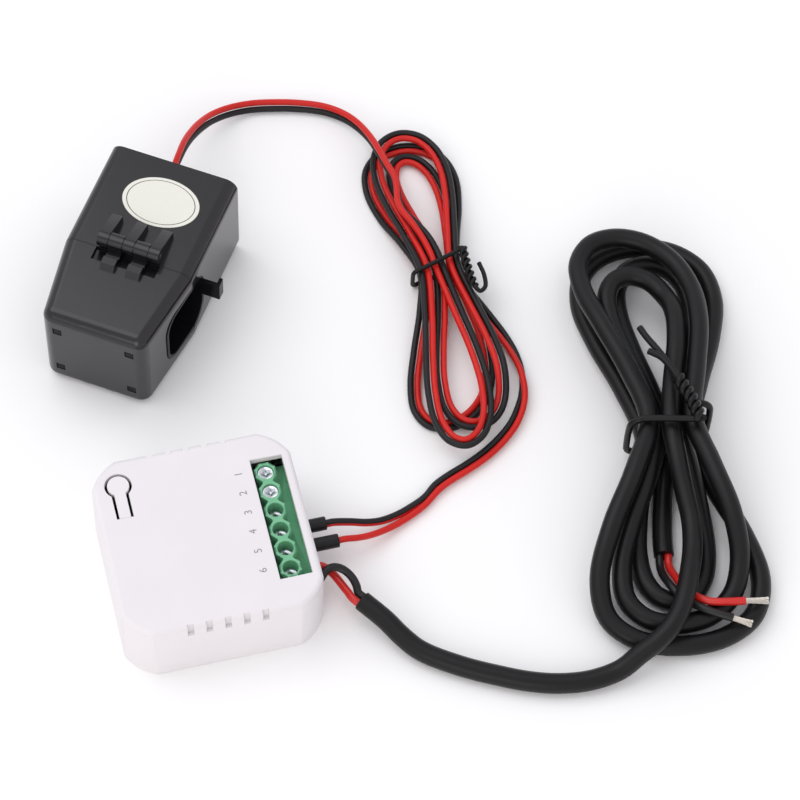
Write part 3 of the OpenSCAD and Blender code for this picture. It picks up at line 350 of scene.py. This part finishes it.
MADE_OF = {
    "case_plastic": ["module_base", "module_cover", "button_tongue"],
    "board_laminate": ["circuit_board"],
    "switch_plastic": ["tact_switch", "switch_plunger"],
    "terminal_polyamide": ["terminal_block"],
    "plated_steel": ["terminal_frames", "hinge_pin", *(f"terminal_plate_{k}" for k in POLES),
                     *(f"terminal_screw_{k}" for k in POLES)],
    "radio_laminate": ["radio_board"],
    "shield_steel": ["radio_shield"],
    "chip_epoxy": ["metering_chip"],
    "capacitor_sleeve": ["supply_capacitor"],
    "transformer_tape": ["supply_transformer"],
    "varistor_epoxy": ["varistor"],
    "resistor_ceramic": ["fuse_resistor"],
    "clamp_abs": ["clamp_body", "clamp_jaw", "body_liner", "jaw_liner"],
    "ferrite": ["body_core", "jaw_core"],
    "bobbin_nylon": ["bobbin"],
    "enamelled_copper": ["winding"],
    "label_paper": ["label"],
    "strand_red": ["ct_lead_red", "ct_hank_red", "ct_tail_red"],
    "strand_black": ["ct_lead_black", "ct_hank_black", "ct_tail_black"],
    "core_red_pvc": ["core_red", "end_red"],
    "core_black_pvc": ["core_black", "end_black"],
    "jacket_pvc": ["mains_lead", "mains_hank"],
    "shrink_sleeve": ["ct_sleeves"],
    "tie_wire": ["ct_tie", "mains_tie"],
    "tinned_copper": ["wire_tips"],
}

for slot_name, names in MADE_OF.items():
    for name in names:
        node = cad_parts[name]
        node.data.materials.clear()
        node.data.materials.append(FINISHES[slot_name])


# Rigid pieces: the CAD solids with their edges broken as a mould or tool leaves them

# A rounded edge needs this many times the rounding's width beside it
ROOM = 1.6
# Angles from which an edge shows: of most pieces, and of the clamp's shell with its stepped roundings
SHARP = 35
SHELL_SHARP = 20
# Points this near are one point, and faces within this angle are one face
WELD = 0.002
FLAT = 0.5
# The button's root: what lies along it, and how far the tongue closes on the cover there
ROOT_Y = min(v.co.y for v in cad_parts["button_tongue"].data.vertices)
ROOT_NEAR = 0.2
ROOT_TOUCH = 0.01
ROOT_GAP = 0.04


def roomy(shape, width, sharp):
    """The outer edges sharper than that angle that have room for a rounding of that width beside them."""
    chosen = {e for e in shape.edges if e.is_manifold and e.is_convex and e.calc_face_angle(0) > sharp}
    while True:
        cramped = set()
        for edge in chosen:
            way = (edge.verts[1].co - edge.verts[0].co).normalized()
            for loop in edge.link_loops:
                for beside, vert in ((loop.link_loop_prev.edge, loop.vert),
                                     (loop.link_loop_next.edge, loop.link_loop_next.vert)):
                    if beside not in chosen:
                        arm = beside.other_vert(vert).co - vert.co
                        if (arm - arm.dot(way) * way).length < ROOM * width:
                            cramped.add(edge)
        if not cramped:
            return chosen
        chosen -= cramped


def at_root(edge):
    """Whether an edge lies along the button's root, where tongue and cover are one moulding."""
    return all(abs(v.co.y - ROOT_Y) < ROOT_NEAR * MM for v in edge.verts)


def onto_root(place):
    """Closes the tongue's root towards the cover."""
    if place.y < ROOT_Y + ROOT_TOUCH * MM:
        place.y -= ROOT_GAP * MM


def dressed(name, body, edge=0, segments=2, crease=SHARP, merge=True, move=None, unpolished=False):
    """A copy of a CAD solid with merged seams and, where there is room, rounded edges, in its place."""
    slot_name = next(slot for slot, nodes in MADE_OF.items() if name in nodes)
    shape = bmesh.new()
    shape.from_mesh(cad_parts[name].data)
    bmesh.ops.remove_doubles(shape, verts=shape.verts, dist=WELD * MM)
    if merge:
        bmesh.ops.dissolve_limit(shape, angle_limit=math.radians(FLAT), verts=shape.verts, edges=shape.edges)
    if edge:
        weight = shape.edges.layers.float.new("bevel_weight_edge")
        for e in roomy(shape, edge * MM, math.radians(crease)):
            e[weight] = 0 if at_root(e) else 1
    if move:
        for v in shape.verts:
            move(v.co)
    mesh = bpy.data.meshes.new(name + "_dressed")
    shape.to_mesh(mesh)
    shape.free()
    mesh.materials.append(FINISHES[slot_name])
    if unpolished:
        dull = mesh.attributes.new(UNPOLISHED, "FLOAT", "FACE")
        dull.data.foreach_set("value", [1.0] * len(mesh.polygons))
    mesh.shade_smooth()
    mesh.set_sharp_from_angle(angle=math.radians(crease))
    piece = put(name + "_dressed", mesh)
    if edge:
        rounding = piece.modifiers.new("edges", "BEVEL")
        rounding.width = edge * MM
        rounding.segments = segments
        rounding.limit_method = "WEIGHT"
        rounding.use_clamp_overlap = False
    piece.modifiers.new("flat_faces", "WEIGHTED_NORMAL").keep_sharp = True
    return stand_for(piece, slot_name, body, name)


dressed("module_cover", "base", edge=0.15)
dressed("module_base", "base", edge=0.2)
dressed("button_tongue", "button", edge=0.12, move=onto_root)
dressed("terminal_block", "base", merge=False)
dressed("clamp_body", "base", crease=SHELL_SHARP)
dressed("clamp_jaw", "jaw", crease=SHELL_SHARP)
dressed("body_liner", "base", edge=0.15, unpolished=True)
dressed("jaw_liner", "jaw", edge=0.15, unpolished=True)
for k in POLES:
    dressed(f"terminal_screw_{k}", f"screw_{k}", merge=False)


# Plain pole numbers printed beside the terminals

NUMBER_SIZE = 2.5
NUMBER_X = 10.2
INK = 0.02


def print_numbers():
    """Flat grey numbers on the cover, read along the row of terminals."""
    # Pad-printed ink: matt mid grey
    ink = moulded("pad_print_grey", "#8D8A8E", "#9B989C", rough=(0.5, 0.65), cloud=1, grain=0.1, depth=0.001)
    cover_top = max(v.co.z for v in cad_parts["module_cover"].data.vertices)
    shape = bmesh.new()
    for k in POLES:
        text = bpy.data.curves.new("number", "FONT")
        text.body = str(k)
        text.size = NUMBER_SIZE * MM
        text.extrude = INK / 2 * MM
        text.align_x = text.align_y = "CENTER"
        number = mesh_of(put("number", text))
        low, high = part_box(f"terminal_screw_{k}")
        place = Vector((NUMBER_X * MM, (low[1] + high[1]) / 2, cover_top + INK / 2 * MM))
        number.transform(Matrix.Translation(place) @ Matrix.Rotation(math.pi / 2, 4, "Z"))
        shape.from_mesh(number)
        bpy.data.meshes.remove(number)
    mesh = bpy.data.meshes.new("pole_numbers")
    shape.to_mesh(mesh)
    shape.free()
    mesh.materials.append(ink)
    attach(put("pole_numbers", mesh), "base")


print_numbers()


# Routes of the leads, as the solids follow them

STRAND_D = 1.55
PAIR_PITCH = 1.7
JACKET_D = 4.7
CORE_D = 1.9
# Half the room between the two cores where they leave the jacket
CORE_GAP = 0.05
WIRE_Z = 6.6
BLOCK_FACE = 21.4
POLE_PITCH = 5.08
POLE_MIDDLE = 0.3
# Terminals of the clamp's red and black strands, and of the mains cable's red and black cores
STRAND_RED_POLE, STRAND_BLACK_POLE = 4, 3
CORE_RED_POLE, CORE_BLACK_POLE = 5, 6
WIRED_POLES = POLES[2:]
# Shape of a hank's lobes: rings in each, and the power and the peak of their sideways sway
LOBE_RINGS = 12
SWAY_POWER = 1.5
SWAY_PEAK = 0.431
NEAR_ZERO = 1e-9
# Roll of the strand pair: one above the other, and flat
ROLL_UPRIGHT, ROLL_FLAT = 90, 180
# Where the pair leaves the clamp, in the clamp's axes
EXIT_U = -2
EXIT_Z = 17
CLAMP_BACK = 28.7
LEAD_START = 21.5

CT_WAIST, CT_TURN = (71.27, 66.36), 1.3
# Each lobe: side, entry and exit column, middle, half width, reach, entry, tip and exit height, climb limits
CT_LOBES = [
    (-1, 0, -3.8, -4.8, 5.9, 49.4, 6, 5.3, 6, 0.32, 0.93),
    (1, -3.8, 3.8, -0.3, 7, 41.7, 6, 3.2, 6, 0.08, 0.94),
    (-1, 3.8, 0, -0.6, 6.7, 43.7, 6, 2.9, 4, 0.67, 0.89),
    (1, 0, 3.8, -0.4, 4.6, 35.7, 4, 1.4, 4, 0.11, 1),
    (-1, 3.8, -3.8, -7.1, 8, 41.4, 4, 0.8, 4, 0.23, 0.86),
    (1, -3.8, 3.8, -0.7, 9.3, 39.4, 4, 0.8, 2, 0.09, 0.54)]
# Lead from the clamp to the hank, and on to the module: x, y, z and roll of the pair
CT_RUN = [
    (12.9, 98.8, 17, 90), (14.5, 102.4, 16.6, 90), (16.1, 105.6, 15.7, 85), (17.9, 109.2, 14.2, 80),
    (20.3, 113.4, 11.8, 75), (23.6, 118, 8.8, 65), (27.6, 122.2, 5.6, 55), (32.4, 125, 3.2, 50),
    (38, 126, 2, 50), (44.1, 125.1, 1.9, 50), (50.2, 123.5, 1.9, 55), (55.8, 121.1, 2, 60),
    (60, 117.6, 2.4, 70), (62.6, 112.6, 4, 80), (64.2, 107.2, 5.6, 90), (65, 102.4, 6.8, 90),
    (65.8, 97.4, 7.4, 90), (66.8, 92, 7.6, 95)]
CT_IN = [(-5.6, 17.8, 7.5, 115), (-3.3, 12.6, 7.3, 140), (-1.5, 8.2, 6.9, 165), (-0.4, 4, 6.3, 180)]
CT_OUT = [(3.8, 0, 2, 180), (5.1, -4.8, 2, 180), (7.2, -9.9, 1.8, 178), (9.3, -15.1, 1.6, 172),
          (11.2, -20.1, 1.5, 160), (12.6, -25.3, 1.5, 138), (13.1, -30.9, 1.6, 105), (12.2, -36.5, 1.7, 68)]
CT_TO_MODULE = [(81.1, 26, 1.6, 40), (78.2, 21.8, 1.5, 25), (74.2, 18.2, 1.4, 15), (69.6, 15.2, 1.4, 10),
                (64.8, 12.9, 1.4, 10), (60, 11, 1.4, 10), (56.4, 9.2, 1.4, 10)]
CT_SPLIT_BLACK = [(52.8, 7.2, 1.4), (49, 5.4, 1.4), (45, 3.9, 1.7), (41, 2.9, 2.5), (37.4, 2.6, 3.8),
                  (34, 2.7, 5.3)]
CT_SPLIT_RED = [(52.4, 5.2, 1.4), (48.6, 3.2, 1.4), (44.8, 1.5, 1.7), (41, 0, 2.6), (37.6, -1.2, 4),
                (34.6, -2, 5.5)]
SLEEVE_END_BLACK, SLEEVE_END_RED = 28.2, 30
SLEEVE_LEAD = 1.6

JACKET_FROM, JACKET_WAY = Vector((31.7, -17.8, 5)), Vector((4.1, -5.5, -0.8)).normalized()
CORE_RED_RUN = [(23.2, -7.32, 6.5), (25, -7.7, 5.9), (26.4, -8.8, 5.1), (27.4, -10.4, 4.7),
                (28.3, -12.5, 4.6), (29.1, -14.8, 4.9)]
CORE_BLACK_RUN = [(22.8, -12.1, 6.9), (24, -11, 7.4), (25.2, -9.9, 7.7), (26.7, -9.4, 7.8),
                  (28.2, -9.7, 7.6), (29.7, -10.8, 7.1), (30.8, -12.5, 6.5), (31.3, -14.3, 5.8)]
MAINS_RUN = [(35.8, -23.3, 4.2), (38.6, -27.8, 3.3), (42, -32, 2.6), (49.7, -37.6, 2.4), (57.8, -42.1, 2.4),
             (64, -45, 2.4), (70.4, -47, 2.4), (77.5, -47.9, 2.6)]
MAINS_WAIST, MAINS_TURN = (111.53, 8.05), 10.45
MAINS_LOBES = [
    (1, 0, -2.6, -5.15, 7.08, 42.54, 13.6, 9.62, 9, 0.59, 0.89),
    (-1, -2.6, 5.2, -2.48, 12.4, 48.39, 9, 3.34, 13.6, 0.3, 1),
    (1, 5.2, -5.2, -7.68, 11.36, 53.27, 13.6, 10.29, 13.6, 0.42, 0.88),
    (-1, -5.2, 5.2, -1.94, 17.25, 53.58, 13.6, 2.55, 4.4, 0.3, 1),
    (1, 5.2, -5.2, -1.3, 14.69, 54.98, 4.4, 3.07, 4.4, 0.37, 0.67),
    (-1, -5.2, 2.6, -2.3, 6.71, 42.11, 4.4, 2.4, 9, 0.05, 0.66),
    (1, 2.6, 0, 0.21, 8.45, 49.1, 9, 4.41, 4.4, 0.42, 0.72)]
MAINS_IN = [(-16.7, -59.3, 3.4), (-12, -56.7, 5.8), (-8, -54.5, 7.7), (-5, -51.8, 8.8), (-2.5, -48, 9.4),
            (-0.6, -42.9, 9.6), (0.7, -38.1, 9.5), (2, -32.1, 9.1), (2.5, -24.9, 9.2), (1.6, -18, 10.6),
            (0.4, -9.5, 12.9)]
MAINS_OUT = [(0, 0, 4.4), (-1.6, -10, 3), (-2.6, -16.6, 2.4), (-3.5, -24.6, 2.4), (-3.7, -28.1, 2.4),
             (-3.7, -30.1, 2.4)]
END_RED_RUN = [(-2.8, -32.9, 2.4), (-1.9, -36.6, 4), (-0.6, -40.3, 5.8), (1.7, -42.9, 6.3),
               (4.4, -44.7, 6.9), (7, -45.2, 7.2), (10, -45.3, 7.3), (12.8, -45.2, 7.2)]
END_BLACK_RUN = [(-4.9, -33.2, 2.4), (-4.4, -36.6, 3.9), (-3.1, -40.3, 5.7), (-1.1, -43.4, 6.1),
                 (1.4, -45.2, 6.4), (4.1, -47, 6.8), (7.1, -48.4, 7), (9.6, -49.3, 6.9)]
TIP_RED_END, TIP_BLACK_END = (18.1, -45.2, 6.8), (13.7, -50.8, 6.5)
# Where the tips in the terminals end
TIP_BACK = 14.9


def lay(at, turn, p):
    """A point of a hank in its own axes, across, along and up, laid on the floor."""
    a = math.radians(turn)
    return Vector((at[0] + p[0] * math.cos(a) + p[1] * math.sin(a),
                   at[1] - p[0] * math.sin(a) + p[1] * math.cos(a), p[2]))


def on_ct(p):
    return lay(CT_WAIST, CT_TURN, p)


def on_mains(p):
    return lay(MAINS_WAIST, MAINS_TURN, p)


def eased(low, high, x):
    t = min(1, max(0, (x - low) / (high - low)))
    return t * t * (3 - 2 * t)


def lobe_points(lobes):
    """Rings of a hank's lobes, each from waist to waist."""
    points = []
    for side, enter, leave, middle, half, reach, z_in, z_tip, z_out, low, high in lobes:
        way = 1 if enter > leave else -1
        for k in range(LOBE_RINGS):
            c, s = math.cos(math.pi * k / LOBE_RINGS), math.sin(math.pi * k / LOBE_RINGS)
            base = (enter * (1 + c) + leave * (1 - c)) / 2
            sway = way * half * c * s ** SWAY_POWER / SWAY_PEAK
            z = z_in if c > NEAR_ZERO else z_out
            points.append((base * c * c + middle * s * s + sway, side * reach * s,
                           z + (z_tip - z) * eased(low, high, s)))
    return points


def pole(k):
    """Where the wire of a terminal enters the block."""
    return Vector((BLOCK_FACE, POLE_MIDDLE + POLE_PITCH * ((POLES[0] + POLES[-1]) / 2 - k), WIRE_Z))


def side_of(way):
    return UP.cross(way).normalized()


def ways(points, first=None):
    """Direction of a route at each of its points."""
    n = len(points) - 1
    found = [(points[min(i + 1, n)] - points[max(i - 1, 0)]).normalized() for i in range(n + 1)]
    found[0] = first or found[0]
    return found


def strand_routes():
    """The clamp lead's red and black strands from the coil to their terminals."""
    pair = [(clamp_point(EXIT_U, v, EXIT_Z), ROLL_UPRIGHT) for v in (LEAD_START, CLAMP_BACK)]
    pair += [(Vector(c[:3]), c[3]) for c in CT_RUN]
    pair += [(on_ct(c), c[3]) for c in CT_IN]
    pair += [(on_ct(c), ROLL_FLAT) for c in lobe_points(CT_LOBES)]
    pair += [(on_ct(c), c[3]) for c in CT_OUT]
    pair += [(Vector(c[:3]), c[3]) for c in CT_TO_MODULE]
    directions = ways([p for p, roll in pair], first=clamp_point(0, 1, 0) - clamp_point(0, 0, 0))
    routes = []
    for side, split, at_pole, sleeve in ((1, CT_SPLIT_RED, STRAND_RED_POLE, SLEEVE_END_RED),
                                         (-1, CT_SPLIT_BLACK, STRAND_BLACK_POLE, SLEEVE_END_BLACK)):
        route = []
        for (p, roll), way in zip(pair, directions):
            n = side_of(way)
            a = math.radians(roll)
            route.append(p + side * PAIR_PITCH / 2 * (math.cos(a) * n + math.sin(a) * way.cross(n)))
        end = pole(at_pole)
        route += [Vector(c) for c in split]
        route += [Vector((sleeve + SLEEVE_LEAD, end.y, end.z)), Vector((sleeve, end.y, end.z)), end]
        routes.append(route)
    return routes


def mains_route():
    hank = MAINS_IN + lobe_points(MAINS_LOBES) + MAINS_OUT
    return [JACKET_FROM] + [Vector(c) for c in MAINS_RUN] + [on_mains(c) for c in hank]


# Steps between two points of a route, and the least distance that their spacing counts as
ROUTE_STEPS = 6
SHORTEST = 1e-6


def smooth(points):
    """A smooth line through the points."""
    line = []
    n = len(points) - 1
    for i in range(n):
        p0, p1, p2, p3 = points[max(i - 1, 0)], points[i], points[i + 1], points[min(i + 2, n)]
        d0, d1, d2 = [math.sqrt(max((b - a).length, SHORTEST)) for a, b in ((p0, p1), (p1, p2), (p2, p3))]
        m1 = (p2 - p1) + d1 * ((p1 - p0) / d0 - (p2 - p0) / (d0 + d1)) if i > 0 else p2 - p1
        m2 = (p2 - p1) + d1 * ((p3 - p2) / d2 - (p3 - p1) / (d1 + d2)) if i < n - 1 else p2 - p1
        for k in range(ROUTE_STEPS):
            t = k / ROUTE_STEPS
            line.append((2 * t ** 3 - 3 * t ** 2 + 1) * p1 + (t ** 3 - 2 * t ** 2 + t) * m1
                        + (3 * t ** 2 - 2 * t ** 3) * p2 + (t ** 3 - t ** 2) * m2)
    return line + [points[-1]]


# Leads as round curves

ROUND_STEPS = 4


def path_curve(name, lines):
    """A curve along each of the lines."""
    data = bpy.data.curves.new(name, "CURVE")
    data.dimensions = "3D"
    for line in lines:
        spline = data.splines.new("POLY")
        spline.points.add(len(line) - 1)
        spline.use_smooth = True
        for point, place in zip(spline.points, line):
            point.co = (*(place * MM), 1)
    return data


def round_lead(name, line, diameter, slot_name, *nodes):
    """A round lead along a line, in place of those nodes."""
    data = path_curve(name, [line])
    data.bevel_depth = diameter / 2 * MM
    data.bevel_resolution = ROUND_STEPS
    data.use_fill_caps = True
    data.materials.append(FINISHES[slot_name])
    return stand_for(put(name, data), slot_name, "base", *nodes)


red_route, black_route = strand_routes()
red_line, black_line, mains_line = smooth(red_route), smooth(black_route), smooth(mains_route())
ct_red = round_lead("ct_strand_red", red_line, STRAND_D, "strand_red",
                    "ct_lead_red", "ct_hank_red", "ct_tail_red")
ct_black = round_lead("ct_strand_black", black_line, STRAND_D, "strand_black",
                      "ct_lead_black", "ct_hank_black", "ct_tail_black")

# The red web between the strands stays on the black one where they part, on its side and a little below

WEB_D = 1.25
WEB_OUT, WEB_DOWN = 0.36, 0.28
WEB_POINTS = 10

web_part = black_route[-WEB_POINTS:-1]
web_route = [p + WEB_OUT * side_of(way) - WEB_DOWN * UP for p, way in zip(web_part, ways(web_part))]
ct_web = round_lead("ct_strand_web", smooth(web_route), WEB_D, "strand_red", "ct_tail_black")

# The mains cable: its jacket, the cores to the terminals and the cores at its free end

mains = round_lead("mains_jacket", mains_line, JACKET_D, "jacket_pvc", "mains_lead", "mains_hank")


def core_side(way):
    """How far a core lies beside the middle of the jacket."""
    return (CORE_D / 2 + CORE_GAP) * side_of(way)


def core_lines():
    """The red and the black core at the module, and then at the free end."""
    lines = []
    for side, at_pole, run in ((-1, CORE_RED_POLE, CORE_RED_RUN), (1, CORE_BLACK_POLE, CORE_BLACK_RUN)):
        into = JACKET_FROM + side * core_side(JACKET_WAY)
        lines.append(smooth([pole(at_pole)] + [Vector(c) for c in run] + [into - CORE_D * JACKET_WAY, into]))
    end_way = (mains_line[-1] - mains_line[-2]).normalized()
    for side, run in ((1, END_RED_RUN), (-1, END_BLACK_RUN)):
        lines.append(smooth([mains_line[-1] + side * core_side(end_way)] + [on_mains(c) for c in run]))
    return lines


red_core, black_core, red_end, black_end = core_lines()
cores = [round_lead(name + "_core", line, CORE_D, slot_name, name) for name, line, slot_name in (
    ("core_red", red_core, "core_red_pvc"), ("core_black", black_core, "core_black_pvc"),
    ("end_red", red_end, "core_red_pvc"), ("end_black", black_end, "core_black_pvc"))]


# Twisted wires along a path: one tree for the tinned tips and the ties' tails

WIRE_SIDES = 8
# How late along the path the wires splay
SPLAY_POWER = 3.0


def twisted_tree():
    """Geometry Nodes: copies of a path's wires turned about it, each a round wire."""
    tree = bpy.data.node_groups.new("twisted_wires", "GeometryNodeTree")
    for name, kind in (("Path", "Geometry"), ("Wires", "Int"), ("Spread", "Float"), ("Wire radius", "Float"),
                       ("Turns", "Float"), ("Splay", "Float"), ("Steps", "Int"), ("Material", "Material")):
        tree.interface.new_socket(name, in_out="INPUT", socket_type="NodeSocket" + kind)
    tree.interface.new_socket("Mesh", in_out="OUTPUT", socket_type="NodeSocketGeometry")
    given = add(tree, "NodeGroupInput").outputs
    even = add(tree, "GeometryNodeResampleCurve",
               {"Curve": given["Path"], "Count": given["Steps"]}).outputs[0]
    copies = add(tree, "GeometryNodeDuplicateElements", {"Geometry": even, "Amount": given["Wires"]},
                 domain="SPLINE").outputs
    along = add(tree, "GeometryNodeSplineParameter").outputs["Factor"]
    share = maths(tree, "DIVIDE", copies["Duplicate Index"], given["Wires"])
    angle = maths(tree, "MULTIPLY", maths(tree, "MULTIPLY_ADD", along, given["Turns"], share), math.tau)
    opened = maths(tree, "MULTIPLY_ADD", maths(tree, "POWER", along, SPLAY_POWER), given["Splay"], 1.0)
    reach = maths(tree, "MULTIPLY", opened, given["Spread"])
    normal = add(tree, "GeometryNodeInputNormal").outputs[0]
    tangent = add(tree, "GeometryNodeInputTangent").outputs[0]
    over = vectors(tree, "SCALE", normal, maths(tree, "COSINE", angle))
    beside = vectors(tree, "CROSS_PRODUCT", tangent, normal)
    across = vectors(tree, "SCALE", beside, maths(tree, "SINE", angle))
    offset = vectors(tree, "SCALE", vectors(tree, "ADD", over, across), reach)
    moved = add(tree, "GeometryNodeSetPosition", {"Geometry": copies[0], "Offset": offset}).outputs[0]
    wire = add(tree, "GeometryNodeCurvePrimitiveCircle",
               {"Resolution": WIRE_SIDES, "Radius": given["Wire radius"]}).outputs[0]
    swept = add(tree, "GeometryNodeCurveToMesh",
                {"Curve": moved, "Profile Curve": wire, "Fill Caps": True}).outputs[0]
    smoothed = add(tree, "GeometryNodeSetShadeSmooth", {"Geometry": swept}).outputs[0]
    real = add(tree, "GeometryNodeRealizeInstances", {"Geometry": smoothed}).outputs[0]
    painted = add(tree, "GeometryNodeSetMaterial",
                  {"Geometry": real, "Material": given["Material"]}).outputs[0]
    add(tree, "NodeGroupOutput", {"Mesh": painted})
    return tree


TWISTED = twisted_tree()


def twisted_wires(name, lines, slot_name, node, **sizes):
    """A mesh of wires twisted along each of the lines, in place of that node."""
    source = put(name + "_path", path_curve(name + "_path", lines))
    modifier = source.modifiers.new("twist", "NODES")
    modifier.node_group = TWISTED
    sockets = {s.name: s.identifier for s in TWISTED.interface.items_tree if s.in_out == "INPUT"}
    for size, value in sizes.items():
        modifier[sockets[size.replace("_", " ")]] = value
    modifier[sockets["Material"]] = FINISHES[slot_name]
    return stand_for(put(name, mesh_of(source)), slot_name, "base", node)


TIP_SIZES = dict(Wires=7, Spread=0.46 * MM, Wire_radius=0.24 * MM, Turns=0.6, Splay=0.5, Steps=24)

free_tips = [[red_end[-1], on_mains(TIP_RED_END)], [black_end[-1], on_mains(TIP_BLACK_END)]]
held_tips = [[pole(k), Vector((TIP_BACK, pole(k).y, WIRE_Z))] for k in WIRED_POLES]
end_tips = twisted_wires("tinned_tips_free", free_tips, "tinned_copper", "wire_tips", **TIP_SIZES)
twisted_wires("tinned_tips_held", held_tips, "tinned_copper", "wire_tips", **TIP_SIZES)


# Ties: a wire once round the waist, its two ends wound on each other

CT_TIE_R, MAINS_TIE_R, TIE_GAP = 0.55, 0.8, 0.1
CT_TIE_CORNERS, CT_TIE_HEIGHTS = ((5.9, 2.4), (-5.4, -0.6)), (2, 6)
CT_TIE_TAIL = [(6.3, 2.2, 8.5), (6.2, -0.6, 8.6), (6.2, -3.4, 8.5), (6.3, -6.2, 8.4), (6.5, -8.8, 8.3)]
CT_TIE_ENDS = [[(6.5, -8.8, 8.3), (7.6, -10.4, 8), (9.2, -9.2, 7.6), (9.8, -5.6, 7.3), (9.4, -2, 7.2)]]
MAINS_TIE_CORNERS, MAINS_TIE_HEIGHTS = ((6.2, 0.8), (-6.6, -1)), (4.4, 13.6)
MAINS_TIE_TAIL = [(6, -3.4, 18.4), (5.3, -0.6, 18.6), (4.5, 2.2, 18.6), (3.3, 5, 18.6), (2, 8, 18.6)]
MAINS_TIE_ENDS = [[(2, 8, 18.6), (0.2, 12.2, 18.3), (-1.9, 16.3, 17.9), (-4, 20, 17.6), (-5.3, 22.8, 17.4)],
                  [(2.6, 6.6, 18.8), (0.6, 10.6, 19), (-1.4, 13.6, 18.8), (-4, 15.6, 18.4)]]
BEND_RINGS = 5
TIE_BENDS = 4
TIE_TURNS = 3.0
TIE_STEPS = 60


def tie_band(corners, heights, lead_r, tie_r):
    """The tie's way round the bundle, from the tail and back to it."""
    first, second = [Vector((*c, 0)) for c in corners]
    along = (first - second).normalized()
    across = UP.cross(along)
    reach = lead_r + TIE_GAP + tie_r
    slip = tie_r + TIE_GAP
    points = []
    last = TIE_BENDS * BEND_RINGS - 1
    for i in range(last + 1):
        bend, step = divmod(i, BEND_RINGS)
        a = math.pi / 2 * (1 - bend - step / (BEND_RINGS - 1))
        corner = first if bend < TIE_BENDS / 2 else second
        z = heights[1] if bend in (0, TIE_BENDS - 1) else heights[0]
        points.append(corner + z * UP + reach * (math.cos(a) * along + math.sin(a) * UP)
                      + slip * (1 - 2 * i / last) * across)
    return points


def make_tie(name, place, corners, heights, tail, ends, lead_r, tie_r):
    """A tie's band, the rope of its two wires and their loose ends."""
    def line(points):
        return smooth([place(p) for p in points])
    band = [tail[0], *tie_band(corners, heights, lead_r, tie_r), tail[0]]
    pieces = [round_lead(name + "_band", line(band), 2 * tie_r, "tie_wire", name),
              twisted_wires(name + "_rope", [line(tail)], "tie_wire", name, Wires=2, Turns=TIE_TURNS,
                            Splay=0.0, Spread=(tie_r + TIE_GAP) * MM, Wire_radius=tie_r * MM,
                            Steps=TIE_STEPS)]
    for k, end in enumerate(ends, 1):
        pieces.append(round_lead(f"{name}_end_{k}", line(end), 2 * tie_r, "tie_wire", name))
    return pieces


ct_tie = make_tie("ct_tie", on_ct, CT_TIE_CORNERS, CT_TIE_HEIGHTS, CT_TIE_TAIL, CT_TIE_ENDS,
                  STRAND_D / 2, CT_TIE_R)
mains_tie = make_tie("mains_tie", on_mains, MAINS_TIE_CORNERS, MAINS_TIE_HEIGHTS, MAINS_TIE_TAIL,
                     MAINS_TIE_ENDS, JACKET_D / 2, MAINS_TIE_R)
sleeves = dressed("ct_sleeves", "base", edge=0.25, segments=3)


# Floor, lamps and world

FLOOR_SIZE = 8
FLOOR_CLOUD = 400
LAMP_TARGET = (0.05, 0.03, 0)
# Strength of the world as a light, and as the camera sees it
SKY_LIGHT, SKY_SEEN = 0.84, 1.0


def make_floor():
    mesh = bpy.data.meshes.new("floor")
    h = FLOOR_SIZE / 2
    mesh.from_pydata([(-h, -h, 0), (h, -h, 0), (h, h, 0), (-h, h, 0)], [], [(0, 1, 2, 3)])
    # Matt white studio paper with a barely visible tone
    material, tree, shader, place = start_material("studio_paper", Roughness=0.9)
    shade_between(tree, shader, noise(tree, place, FLOOR_CLOUD, detail=2), "#FCFCFB", "#FEFEFD")
    mesh.materials.append(material)
    put("floor", mesh)


def make_lamp(name, place, size, power, colour):
    data = bpy.data.lights.new(name, "AREA")
    data.shape = "DISK"
    data.size = size
    data.energy = power
    data.color = srgb(colour)[:3]
    lamp = put(name, data)
    lamp.location = place
    lamp.rotation_euler = (Vector(LAMP_TARGET) - Vector(place)).to_track_quat("-Z", "Y").to_euler()


def make_world():
    world = bpy.data.worlds.new("studio")
    world.use_nodes = True
    tree = world.node_tree
    tree.nodes.clear()
    seen = add(tree, "ShaderNodeLightPath").outputs["Is Camera Ray"]
    strength = ranged(tree, seen, SKY_LIGHT, SKY_SEEN)
    sky = add(tree, "ShaderNodeBackground", {"Color": srgb("#FAFAFF"), "Strength": strength})
    add(tree, "ShaderNodeOutputWorld", {"Surface": sky.outputs[0]})
    bpy.context.scene.world = world


make_floor()
make_world()
make_lamp("key", place=(-0.45, 0.52, 1.3), size=1.4, power=6.2, colour="#FDFCFF")
make_lamp("fill", place=(-0.6, -1.0, 0.55), size=0.9, power=3.2, colour="#FFF4E8")
bpy.context.scene.view_settings.view_transform = "Standard"
